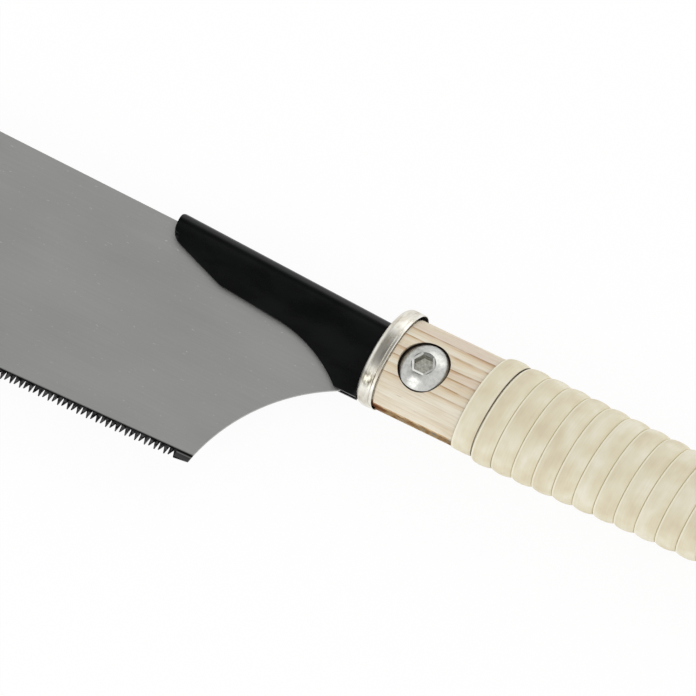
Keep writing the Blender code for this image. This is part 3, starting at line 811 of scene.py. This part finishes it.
@dataclass
class Dresser:
    """Gives each piece its finish, its body and the CAD node that it stands for."""

    made: dict[str, bpy.types.Material] = field(default_factory=dict)

    def material(self, finish: Finish) -> bpy.types.Material:
        """Makes a finish's material once and keeps it.

        Args:
            finish: the finish, known by its name.

        Returns:
            Its material.
        """
        if finish.name not in self.made:
            self.made[finish.name] = finish.material()
        return self.made[finish.name]

    def finish(self, piece: bpy.types.Object, finish: Finish) -> None:
        """Puts a finish on a piece in place of any that it has."""
        piece.data.materials.clear()
        piece.data.materials.append(self.material(finish))

    def dress(self, piece: bpy.types.Object, finish: Finish, node: str) -> None:
        """Finishes a new piece, which rides on the handle and stands for a CAD node.

        Args:
            piece: the new object.
            finish: its finish.
            node: the CAD node that it replaces.
        """
        self.finish(piece, finish)
        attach(piece, HANDLE_BODY)
        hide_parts(node)
        LOG.info("%s: %d faces in place of %s", piece.name, len(piece.data.polygons), node)

    def line(self, piece: bpy.types.Object, finish: Finish, inside: Callable[[Vector], bool]) -> None:
        """Gives a second finish to some of a piece's faces.

        Args:
            piece: a dressed piece.
            finish: the second finish.
            inside: tells from a face's middle whether it takes that finish.
        """
        piece.data.materials.append(self.material(finish))
        last = len(piece.data.materials) - 1
        for face in piece.data.polygons:
            if inside(face.center):
                face.material_index = last


def at_bolt(piece: bpy.types.Object, height: float = 0.0) -> bpy.types.Object:
    """Moves a piece that stands on the upright axis to the bolt's axis, at a height."""
    return moved(piece, (along(BOLT_PLACE[0]), BOLT_PLACE[1], height))


@dataclass
class Handle:
    """The oak core with its kerf and bolt hole, and the wound rattan strip."""

    neck: Point = (0.01395, 0.0103)
    waist: Point = (0.0123, 0.0089)
    swell: Point = (0.0144, 0.0113)
    waist_place: float = 0.115
    swell_place: float = 0.228
    sections: int = 48
    butt_rounding: float = 0.0045
    butt_steps: int = 10
    core_front: float = 0.0020
    seat: Point = (0.0134, 0.00987)
    shoulder: float = 0.0052
    kerf_half: float = 0.0015
    kerf_end: float = 0.060
    cut_reach: float = 0.02
    head_pocket_floor: float = 0.0067
    nut_pocket_radius: float = 0.0083
    nut_pocket_roof: float = -0.0033
    wrap_start: float = 0.0315
    pitch: float = 0.00613
    first_middle: float = 0.002815
    first_width: float = 0.0061
    first_forward: float = 0.0003
    strip_width: float = 0.00609
    strip_under: float = 0.00005
    strip_edge: float = 0.00078
    strip_crown: float = 0.00125
    strip_squareness: float = 5.0
    strip_columns: int = 32
    rows_per_turn: int = 72
    start_share: float = 0.25
    thick_from: float = 0.2
    wide_from: float = 0.9
    blend_turns: float = 0.4

    def halves(self, place: float) -> Point:
        """The wood's half sizes behind the ferrule.

        Args:
            place: the place along the handle.

        Returns:
            Its half height and half thickness there.
        """
        if place < self.waist_place:
            first, last = self.neck, self.waist
            share = (place - self.wrap_start) / (self.waist_place - self.wrap_start)
        else:
            first, last = self.waist, self.swell
            share = (place - self.waist_place) / (self.swell_place - self.waist_place)
        return eased(first[0], last[0], share), eased(first[1], last[1], share)

    def core(self) -> bpy.types.Object:
        """Makes the wood: lofted ovals, sawn for the tang and drilled for the bolt.

        Returns:
            The object.
        """
        rings = [Ring(along(p), *self.seat) for p in (self.core_front, self.shoulder)]
        rings.append(Ring(along(self.shoulder), *self.neck))
        end = HANDLE_LENGTH - self.butt_rounding
        for step in range(self.sections + 1):
            place = self.wrap_start + (end - self.wrap_start) * step / self.sections
            rings.append(Ring(along(place), *self.halves(place)))
        height, thickness = self.halves(end)
        for x, out in arc((0.0, 0.0), self.butt_rounding, 0.0, math.pi / 2, self.butt_steps)[1:]:
            drop = self.butt_rounding - x
            rings.append(Ring(along(end + out), height - drop, thickness - drop))
        core = lofted("oak_core", rings, Axis.ALONG, FINE_ROUND)
        reach = self.cut_reach
        kerf = [(0.0, -reach), (self.kerf_end, -reach), (self.kerf_end, reach), (0.0, reach)]
        combine(core, slab("kerf", [(along(x), y) for x, y in kerf], -self.kerf_half, self.kerf_half))
        for radius, low, high in (
            (BOLT_HOLE_RADIUS, -reach, reach),
            (HEAD_POCKET_RADIUS, self.head_pocket_floor, reach),
            (self.nut_pocket_radius, -reach, self.nut_pocket_roof),
        ):
            combine(core, at_bolt(turned_piece("drill", [(radius, low), (radius, high)])))
        smooth(core, angle=35)
        return core

    def strip_section(self, u: float) -> Point:
        """A point of the strip's closed section, whose top is crowned and whose corners are round.

        Args:
            u: the way round the section, 0 to 1, from the middle of its underside.

        Returns:
            The share of the half width across, and the distance out from the wood.
        """
        turn = 2 * math.pi * u
        across = -math.sin(turn)
        rise = -math.cos(turn)
        power = self.strip_squareness
        scale = (abs(across) ** power + abs(rise) ** power) ** (-1 / power)
        across, rise = across * scale, rise * scale
        top = self.strip_edge + (self.strip_crown - self.strip_edge) * (1 - across**2)
        return across, top * (rise + 1) / 2

    def strip_point(self, u: float, v: float) -> tuple[float, float, float]:
        """A point of the wound strip, which starts thin on the tooth side and leaves its first seam open.

        Args:
            u: the way round its section, 0 to 1.
            v: the way along it, 0 to 1.

        Returns:
            The point's x, y and z.
        """
        turn = v * WRAP_TURNS
        across, out = self.strip_section(u)
        widened = (turn - self.wide_from) / self.blend_turns
        width = eased(self.first_width, self.strip_width, widened)
        thickened = (turn - self.thick_from) / self.blend_turns
        out = self.strip_under + out * eased(self.start_share, 1.0, thickened)
        angle = 1.5 * math.pi - 2 * math.pi * turn
        middle = self.wrap_start + self.first_middle + (turn - 0.5) * self.pitch
        place = middle - eased(self.first_forward, 0.0, widened) + across * width / 2
        height, thickness = self.halves(place)
        return along(place), (height + out) * math.cos(angle), (thickness + out) * math.sin(angle)

    def wrap(self) -> bpy.types.Object:
        """Makes the rattan strip, one unbroken winding.

        Returns:
            The object.
        """
        rows = WRAP_TURNS * self.rows_per_turn
        strip = mapped_grid("rattan_winding", self.strip_columns, rows, self.strip_point)
        in_edit(strip, close_and_face_out)
        smooth(strip, angle=60)
        return strip

    def build(self, dresser: Dresser) -> None:
        """Makes and dresses the wood and the winding."""
        dresser.dress(self.core(), PaleOak(), "handle_core")
        dresser.dress(self.wrap(), PeeledRattan(), "rattan_wrap")


@dataclass
class Ferrule:
    """The pressed ring, leaning a little, with a rolled front edge and a groove before its rear rim.

    The turned-in front edge has a notch on the tooth side, through which the swung blade passes.
    """

    half_height: float = 0.0150
    half_thickness: float = 0.01087
    wall: float = 0.0005
    turned_in: float = 0.0022
    rounding: float = 0.0020
    roll_steps: int = 12
    rim_steps: int = 8
    rise: float = 0.0006
    rim: float = 0.0008
    groove_width: float = 0.0003
    groove_depth: float = 0.00016
    notch_from: float = 0.0008
    notch_height: float = 0.003
    notch_half: float = 0.0009
    notch_reach: float = 0.001
    lean: float = 0.02
    forward: float = 0.00035

    def profile(self) -> list[Point]:
        """Draws the wall's closed section.

        Returns:
            The place along the ring and the depth below its outside of each point.
        """
        roll = (self.rounding, self.rounding)
        edge = self.wall / 2
        groove = FERRULE_LENGTH - self.rim
        section = [(0.0, self.turned_in)]
        section += arc(roll, self.rounding, math.pi, 1.5 * math.pi, self.roll_steps)
        section.append((groove - self.groove_width, 0.0))
        section.append((groove - self.groove_width / 2, self.groove_depth))
        section.append((groove, 0.0))
        section += arc((FERRULE_LENGTH - edge, edge), edge, -math.pi / 2, math.pi / 2, self.rim_steps)
        section += arc(roll, self.rounding - self.wall, 1.5 * math.pi, math.pi, self.roll_steps)
        return section + [(self.wall, self.turned_in), section[0]]

    def build(self, dresser: Dresser) -> None:
        """Makes, notches, dresses and leans the ring.

        Args:
            dresser: gives it its finish.
        """
        rings = []
        for x, inset in self.profile():
            rings.append(Ring(along(x), self.half_height - inset, self.half_thickness - inset, self.rise))
        ring = lofted("ferrule_ring", rings, Axis.ALONG, FINE_ROUND)
        low = self.rise - self.half_height + self.notch_from
        high, reach = low + self.notch_height, self.notch_reach
        notch = [(-reach, low), (reach, low), (reach, high), (-reach, high)]
        notch = [(along(x), y) for x, y in notch]
        combine(ring, slab("blade_notch", notch, -self.notch_half, self.notch_half))
        smooth(ring, angle=30)
        dresser.dress(ring, PlatedSteel(), "ferrule")
        inner = (self.half_height - self.wall / 2, self.half_thickness - self.wall / 2)

        def inside(middle: Vector) -> bool:
            """Whether a face lies on the wall's inner side, behind the rolled edge."""
            share = ((middle.y - self.rise) / inner[0]) ** 2 + (middle.z / inner[1]) ** 2
            return middle.x > along(self.rounding) and share < 1

        # Painted shade: the ring's inner wall is coloured near-black brown, as the shade inside it looks.
        dresser.line(ring, DullSteelPaintedLight("painted_shade_ring_inside", "#2A231D", scale_colour="#120E0B"), inside)
        centre = Vector((along(FERRULE_LENGTH / 2), 0.0, 0.0))
        leaned = Matrix.Rotation(-self.lean, 4, "Z") @ Matrix.Translation(-centre)
        ring.data.transform(Matrix.Translation(centre - Vector((self.forward, 0.0, 0.0))) @ leaned)


@dataclass
class Bolt:
    """The button-head bolt with its hexagon socket."""

    seat: float = 0.0070
    head_radius: float = 0.0070
    head_height: float = 0.0044
    head_rim: float = 0.0019
    head_top_radius: float = 0.0034
    dome_steps: int = 20
    shank_radius: float = 0.0040
    tip_chamfer: float = 0.0005
    length: float = 0.016
    socket_width: float = 0.005
    socket_depth: float = 0.0026
    socket_cut_top: float = 0.01
    mouth_radius: float = 0.0036
    mouth_slope: float = 0.30
    mouth_reach: float = 0.001
    # Heights and reaches of the painted light in the socket and on the head's rim.
    painted_shade_wall_height: float = 0.0022
    painted_reflection_rim_reach: float = 0.0069
    painted_light_margin: float = 0.0001

    def profile(self) -> list[Point]:
        """Draws the dome, the rim and the shank, from the top down.

        Returns:
            The radius of each point and its height over the head's seat.
        """
        rim_square = self.head_radius**2 + self.head_rim**2
        top_square = self.head_top_radius**2 + self.head_height**2
        centre = (rim_square - top_square) / (2 * (self.head_rim - self.head_height))
        dome = math.hypot(self.head_radius, self.head_rim - centre)
        top = math.atan2(self.head_height - centre, self.head_top_radius)
        rim = math.atan2(self.head_rim - centre, self.head_radius)
        return [
            *arc((0.0, centre), dome, top, rim, self.dome_steps),
            (self.head_radius, 0.0),
            (self.shank_radius, 0.0),
            (self.shank_radius, self.tip_chamfer - self.length),
            (self.shank_radius - self.tip_chamfer, -self.length),
        ]

    def build(self, dresser: Dresser) -> None:
        """Makes the bolt, cuts its socket with a chamfered mouth, and dresses it.

        Args:
            dresser: gives it its finishes.
        """
        head = turned_piece("button_bolt", self.profile(), FINE_ROUND)
        corner = self.socket_width / math.sqrt(3)
        floor = self.head_height - self.socket_depth
        combine(head, slab("socket", hexagon(corner), floor, self.socket_cut_top))
        outs = (-self.mouth_reach, self.mouth_reach)
        mouth = [(self.mouth_radius + out, self.head_height + out * self.mouth_slope) for out in outs]
        mouth = turned_piece("socket_mouth", mouth, steps=6)
        turn = {"value": math.pi / 6, "orient_axis": "Z", "center_override": (0.0, 0.0, 0.0)}
        in_edit(mouth, lambda: bpy.ops.transform.rotate(**turn))
        combine(head, mouth)
        in_edit(head, close_and_face_out)
        smooth(at_bolt(head, self.seat), angle=15)
        dresser.dress(head, BrightSteel(), "handle_bolt")
        low, margin = self.seat + floor, self.painted_light_margin

        def reach(middle: Vector) -> float:
            """A face's distance from the bolt's axis."""
            return math.hypot(middle.x - along(BOLT_PLACE[0]), middle.y - BOLT_PLACE[1])

        def on_wall(middle: Vector) -> bool:
            """Whether a face is a wall of the socket."""
            return reach(middle) < corner and low + margin < middle.z < low + self.painted_shade_wall_height

        def on_floor(middle: Vector) -> bool:
            """Whether a face is the socket's floor."""
            return reach(middle) < corner and abs(middle.z - low) < margin

        def on_rim(middle: Vector) -> bool:
            """Whether a face is on the head's upright rim."""
            return reach(middle) > self.painted_reflection_rim_reach and middle.z < self.seat + self.head_rim - margin

        # Painted shade: the socket's walls get a darker, scaly dull steel for the shade in the recess.
        dresser.line(head, DullSteelPaintedLight("painted_shade_socket_walls", "#B4B3A8", scale_colour="#74736A"), on_wall)
        # Painted light: the socket's floor is a pale non-metal, so it shows as lit where steel would mirror
        # the dark overhead.
        bottom = DullSteelPaintedLight("painted_light_socket_floor", "#F2F1E8", metallic=0.0, scale_colour="#C2C0B6")
        dresser.line(head, bottom, on_floor)
        # Painted reflection: the head's upright rim is coloured dark brown as the mirrored wall of its
        # pocket.
        dresser.line(head, DullSteelPaintedLight("painted_reflection_head_rim", "#6A625A", scale_colour="#3A342F"), on_rim)


@dataclass
class BackHardware:
    """The washer and the hexagon nut that draw the bolt up from the back."""

    washer_radius: float = 0.0080
    washer_half: float = 0.0008
    washer_middle: float = -0.0044
    washer_edge: float = 0.0002
    nut_width: float = 0.013
    nut_half: float = 0.0020
    nut_middle: float = -0.0075
    nut_chamfer: float = 0.0006
    nut_inset: float = 0.0001
    countersink: float = 0.0004
    cut_over: float = 0.0002

    def washer(self) -> bpy.types.Object:
        """Makes a flat ring with eased edges.

        Returns:
            The object.
        """
        edge, half = self.washer_edge, self.washer_half
        low = [(BOLT_HOLE_RADIUS, edge - half), (BOLT_HOLE_RADIUS + edge, -half)]
        low += [(self.washer_radius - edge, -half), (self.washer_radius, edge - half)]
        return turned_piece("plain_washer", mirrored(low) + low[:1])

    def nut(self) -> bpy.types.Object:
        """Makes a hexagon with its corners chamfered and its bore countersunk at both ends.

        Returns:
            The object.
        """
        corner = self.nut_width / math.sqrt(3)
        sides = [(y, x) for x, y in hexagon(corner)]
        nut = slab("hexagon_nut", sides, -self.nut_half, self.nut_half)
        flat, full = self.nut_width / 2 - self.nut_inset, corner + self.cut_over
        # The cone runs on past the nut's ends: with tool faces lying in them, the cut fails now and then.
        past = self.cut_over * (full - flat) / self.nut_chamfer
        low = [(flat - past, -self.nut_half - self.cut_over), (full, self.nut_chamfer - self.nut_half)]
        combine(nut, turned_piece("chamfer", mirrored(low)), "INTERSECT")
        low = [(BOLT_HOLE_RADIUS + self.countersink + self.cut_over, -self.nut_half - self.cut_over)]
        low.append((BOLT_HOLE_RADIUS, self.countersink - self.nut_half))
        combine(nut, turned_piece("bore", mirrored(low)))
        in_edit(nut, close_and_face_out)
        return nut

    def build(self, dresser: Dresser) -> None:
        """Makes, places and dresses both pieces.

        Args:
            dresser: gives them their finish.
        """
        for piece, height, node in (
            (self.washer(), self.washer_middle, "handle_washer"),
            (self.nut(), self.nut_middle, "handle_nut"),
        ):
            smooth(at_bolt(piece, height), angle=25)
            dresser.dress(piece, BrightSteel(), node)


@dataclass
class Holder:
    """The sheet folded over the blade's spine, with its tang."""

    sheet: float = 0.0006
    cheek_half: float = 0.0012
    cheek_depth: float = 0.040
    fold_radius: float = 0.0026
    cheek_blend: float = 0.0206
    tang_blend: float = 0.0025
    fold_steps: int = 16
    top: float = 0.00956
    slope: float = 0.0445
    length: float = 0.0712
    nose_depth: float = 0.0077
    nose_radius: float = 0.0052
    nose_top_radius: float = 0.0015
    nose_lead: Point = (0.0040, 0.0030)
    nose_clear: float = 0.00002
    belly_place: float = -0.05086
    belly_depth: float = 0.01395
    belly_radius: float = 0.0050
    belly_slope: float = 0.0898
    throat_radius: float = 0.0444
    throat_steps: int = 28
    heel_length: float = 0.0072
    heel_height: float = -0.01409
    heel_radius: float = 0.0010
    seat_gap: float = 0.0003
    fold_end: float = 0.0017
    fold_clear: float = 0.0004
    tang_length: float = 0.042
    tang_bottom: float = -0.00844
    tang_end_radius: float = 0.0030
    corner_steps: int = 12
    cheek_rows: int = 30
    tang_rows: int = 12
    end_margin: float = 0.002
    cut_half: float = 0.006
    hole_steps: int = 48
    pin: Point = (0.00367, -0.0040)
    pin_hole: float = 0.00205
    edge_rounding: float = 0.00016
    edge_angle: float = 50.0

    def top_at(self, place: float) -> float:
        """Height of the folded edge at a place."""
        return self.top - self.slope * place

    def flat_below(self, blend: float) -> float:
        """How far below the fold's top the cheeks are flat, for a blend radius."""
        across = self.cheek_half + blend
        return self.fold_radius + math.sqrt((self.fold_radius + blend) ** 2 - across**2)

    def section(self, blend: float) -> list[Point]:
        """Draws the outer side of the folded sheet: cheek, fold, cheek.

        Args:
            blend: the radius with which the fold draws in to the cheeks.

        Returns:
            The z of each point and its height over the fold's top.
        """
        fold = (0.0, -self.fold_radius)
        hollow = (self.cheek_half + blend, -self.flat_below(blend))
        meet = math.atan2(hollow[1] - fold[1], hollow[0] - fold[0])
        side = [(self.cheek_half, -self.cheek_depth)]
        side += arc(hollow, blend, math.pi, math.pi + meet, self.fold_steps)
        side += arc(fold, self.fold_radius, meet, math.pi / 2, self.fold_steps)[1:]
        return side + [(-z, depth) for z, depth in reversed(side[:-1])]

    def throat(self, belly: Point, heel: Point) -> list[Point]:
        """Draws the arc that leaves the edge behind the belly smoothly and runs down to the heel.

        Args:
            belly: the belly's corner.
            heel: the heel's corner.

        Returns:
            The arc's points.
        """
        edge = Vector((1, -self.belly_slope)).normalized()
        down = Vector((edge.y, -edge.x))
        reach = Vector(heel) - Vector(belly)
        drop = reach.dot(down)
        start = reach.dot(edge) - math.sqrt(2 * self.throat_radius * drop - drop**2)
        centre = Vector(belly) + edge * start + down * self.throat_radius
        leave = math.atan2(-down.y, -down.x)
        arrive = math.atan2(heel[1] - centre.y, heel[0] - centre.x)
        return arc(tuple(centre), self.throat_radius, leave, turned_to(leave, arrive), self.throat_steps)

    def outline(self) -> list[Point]:
        """Draws the side outline of the holder with its tang.

        Returns:
            The outline's points, with places along the saw.
        """
        nose = -self.length
        belly = (self.belly_place, self.top_at(self.belly_place) - self.belly_depth)
        heel = (-self.heel_length, self.heel_height)
        under = self.flat_below(self.tang_blend) + self.fold_clear
        lead, near = (nose + place for place in self.nose_lead)
        corners = [
            (nose, self.top_at(nose), self.nose_top_radius),
            (nose, self.top_at(nose) - self.nose_depth, self.nose_radius),
            (*belly, self.belly_radius),
            *((x, y, 0.0) for x, y in self.throat(belly, heel)[:-1]),
            (*heel, self.heel_radius),
            (-self.seat_gap, self.heel_height, 0.0),
            (-self.seat_gap, self.tang_bottom, 0.0),
            (self.tang_length, self.tang_bottom, self.tang_end_radius),
            (self.tang_length, self.top_at(self.tang_length) - under, self.tang_end_radius),
            (self.fold_end, self.top_at(self.fold_end) - under, 0.0),
            (self.fold_end, self.top_at(self.fold_end) + self.fold_clear, 0.0),
            (lead, self.top_at(lead) + self.fold_clear, 0.0),
            (near, self.top_at(near) + self.nose_clear, 0.0),
        ]
        return rounded(corners, self.corner_steps)

    def build(self, dresser: Dresser) -> None:
        """Folds the sheet, trims and drills it, rounds its edges and dresses it.

        Args:
            dresser: gives it its finish.
        """
        wide, tight = self.section(self.cheek_blend), self.section(self.tang_blend)
        start, end = -self.length - self.end_margin, self.tang_length + self.end_margin
        places = [start * (1 - step / self.cheek_rows) for step in range(self.cheek_rows + 1)]
        behind = (end - self.fold_end) / self.tang_rows
        places += [self.fold_end + behind * step for step in range(self.tang_rows + 1)]

        def spot(u: float, v: float) -> tuple[float, float, float]:
            """The sheet's point for the way round its section and the way along it."""
            place = places[round(v * (len(places) - 1))]
            section = wide if place <= 0 else tight
            z, depth = section[round(u * (len(section) - 1))]
            return along(place), self.top_at(place) + depth, z

        sheet = mapped_grid("folded_holder", len(wide) - 1, len(places) - 1, spot)
        apply_modifier(sheet, "SOLIDIFY", thickness=self.sheet, offset=1.0, use_even_offset=True)
        in_edit(sheet, close_and_face_out)
        trim = [(along(x), y) for x, y in self.outline()]
        combine(sheet, slab("holder_trim", trim, -self.cut_half, self.cut_half), "INTERSECT")
        for (place, height), radius in ((self.pin, self.pin_hole), (BOLT_PLACE, BOLT_HOLE_RADIUS)):
            ends = [(radius, -self.cut_half), (radius, self.cut_half)]
            drill = turned_piece("drill", ends, self.hole_steps)
            combine(sheet, moved(drill, (along(place), height, 0.0)))
        edges = {"limit_method": "ANGLE", "angle_limit": math.radians(self.edge_angle)}
        apply_modifier(sheet, "BEVEL", width=self.edge_rounding, segments=2, **edges)
        in_edit(sheet, close_and_face_out)
        smooth(sheet, angle=40)
        dresser.dress(sheet, BlackEnamel(), "blade_holder")


@dataclass
class KeptNodes:
    """The CAD nodes whose shapes are right as they are and only need their finish."""

    finishes: dict[str, Finish] = field(
        default_factory=lambda: {
            "saw_blade": BladeSteel(),
            "hook_pin": BrightSteel(),
            "tang_spacer": BrightSteel(),
        }
    )

    def build(self, dresser: Dresser, nodes: dict[str, bpy.types.Object]) -> None:
        """Gives each kept node its finish.

        Args:
            dresser: gives the finishes.
            nodes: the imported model's objects by name.
        """
        for name, finish in self.finishes.items():
            dresser.finish(nodes[name], finish)
            LOG.info("%s: CAD node kept", name)


@dataclass(frozen=True)
class Softbox:
    """A soft oblong lamp: its place from the ferrule, its width and height, and its power in watts."""

    name: str
    spot: tuple[float, float, float]
    size: Point
    power: float


@dataclass
class Studio:
    """The floor, the light and the camera of the photograph."""

    floor_height: float = -0.0128
    floor_size: float = 6.0
    floor_squares: int = 4
    floor_white: float = 0.93
    flag_middle: Point = (-0.327, 0.03)
    flag_dark: Point = (0.15, 0.30)
    flag_edge: Point = (0.45, 0.78)
    flag_level: float = 0.05
    azimuth: float = 45.0
    elevation: float = 62.5
    long_axis_fall: float = 25.65
    distance: float = 1.2
    far_clip: float = 20.0
    pixels_per_mm: float = 3.706
    ferrule_pixel: Point = (383.3, 357.1)
    sensor: float = 36.0
    lamps: tuple[Softbox, ...] = (
        Softbox("front_softbox", (-0.45, -1.13, 0.88), (0.9, 1.0), 3.8),
        Softbox("back_softbox", (0.2, 1.25, 0.8), (1.6, 0.9), 3.4),
    )

    def camera(self) -> None:
        """The camera at the photograph's angle, rolled so that the handle falls as it does there."""
        a, e = math.radians(self.azimuth), math.radians(self.elevation)
        back = Vector((math.sin(a) * math.cos(e), -math.cos(a) * math.cos(e), math.sin(e)))
        level = Vector((math.cos(a), math.sin(a), 0.0))
        upright = back.cross(level)
        roll = math.atan2(-upright.x, level.x) - math.radians(self.long_axis_fall)
        right = math.cos(roll) * level - math.sin(roll) * upright
        up = math.sin(roll) * level + math.cos(roll) * upright
        middle = PICTURE_PIXELS / 2
        shift = right * (middle - self.ferrule_pixel[0]) + up * (self.ferrule_pixel[1] - middle)
        spot = Vector((along(0.0), 0.0, 0.0)) + shift / self.pixels_per_mm / 1000 + back * self.distance
        deselect_all()
        bpy.ops.object.camera_add()
        camera = bpy.context.active_object
        camera.name = "photo_camera"
        camera.matrix_world = Matrix.Translation(spot) @ Matrix((right, up, back)).transposed().to_4x4()
        camera.data.sensor_width = self.sensor
        camera.data.lens = self.pixels_per_mm * self.distance * 1000 * self.sensor / PICTURE_PIXELS
        camera.data.clip_end = self.far_clip
        bpy.context.scene.camera = camera

    def world(self) -> None:
        """A white tent with a dim oblong flag overhead, which the flat faces mirror to the camera."""
        world = bpy.data.worlds.new("white_tent")
        bpy.context.scene.world = world
        world.use_nodes = True
        add = partial(add_node, world.node_tree)
        heading = add("TexCoord").node.outputs["Generated"]
        split = add("SeparateXYZ", [heading]).node.outputs
        sides = []
        for name, middle, dark, edge in zip("XY", self.flag_middle, self.flag_dark, self.flag_edge):
            off = add("Math", [split[name], middle], operation="SUBTRACT")
            off = add("Math", [off], operation="ABSOLUTE")
            sides.append(add("MapRange", [off, dark, edge, self.flag_level, 1.0]))
        level = add("Math", sides, operation="MAXIMUM")
        shade = world.node_tree.nodes["Background"]
        shade.inputs["Color"].default_value = (1.0, 1.0, 1.0, 1.0)
        link_inputs(shade, {"Strength": level})

    def floor(self) -> None:
        """The plain white floor, also white to the camera and to mirrors, which keeps a soft shadow."""
        squares = {"x_subdivisions": self.floor_squares, "y_subdivisions": self.floor_squares}
        spot = (along(0.0), 0.0, self.floor_height)
        deselect_all()
        bpy.ops.mesh.primitive_grid_add(**squares, size=self.floor_size, location=spot)
        floor = new_piece("pale_floor")
        made, add, shader = Finish("matt_white_floor", "#FFFFFF", roughness=0.9, specular=0.0).start()
        rays = add("LightPath").node.outputs
        seen = add("Math", [rays["Is Camera Ray"], rays["Is Glossy Ray"]], operation="MAXIMUM")
        seen = add("Math", [seen, rays["Is Transmission Ray"]], operation="MAXIMUM")
        part = add("Math", [seen, self.floor_white], operation="MULTIPLY")
        white = add("Emission", {"Strength": 1.0, "Color": (1.0, 1.0, 1.0, 1.0)})
        mixed = add("MixShader", [part, shader.outputs[0], white])
        link_inputs(made.node_tree.nodes["Material Output"], {"Surface": mixed})
        floor.data.materials.append(made)

    def lamp(self, box: Softbox) -> None:
        """Hangs a softbox so that it faces the ferrule.

        Args:
            box: its name, place, size and power.
        """
        spot = Vector(box.spot)
        deselect_all()
        bpy.ops.object.light_add(type="AREA", location=Vector((along(0.0), 0.0, 0.0)) + spot)
        lamp = bpy.context.active_object
        lamp.name = box.name
        lamp.rotation_euler = (-spot).to_track_quat("-Z", "Y").to_euler()
        lamp.data.shape = "RECTANGLE"
        lamp.data.size, lamp.data.size_y = box.size
        lamp.data.energy = box.power

    def build(self) -> None:
        """Sets up the whole studio."""
        self.camera()
        self.world()
        self.floor()
        for box in self.lamps:
            self.lamp(box)
        bpy.context.scene.view_settings.view_transform = "Standard"


def corners(box: Any) -> list[list[float]]:
    """A box's lowest and highest corners as plain lists."""
    return [list(map(float, corner)) for corner in box]


def main() -> None:
    """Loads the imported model, sets the studio and builds each sub-assembly in order."""
    logging.basicConfig(level=logging.INFO, format="%(name)s %(message)s")
    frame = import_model()
    dresser = Dresser()
    Studio().build()
    KeptNodes().build(dresser, frame["nodes"])
    Holder().build(dresser)
    Ferrule().build(dresser)
    Handle().build(dresser)
    Bolt().build(dresser)
    BackHardware().build(dresser)
    deselect_all()


if __name__ == "__main__":
    main()
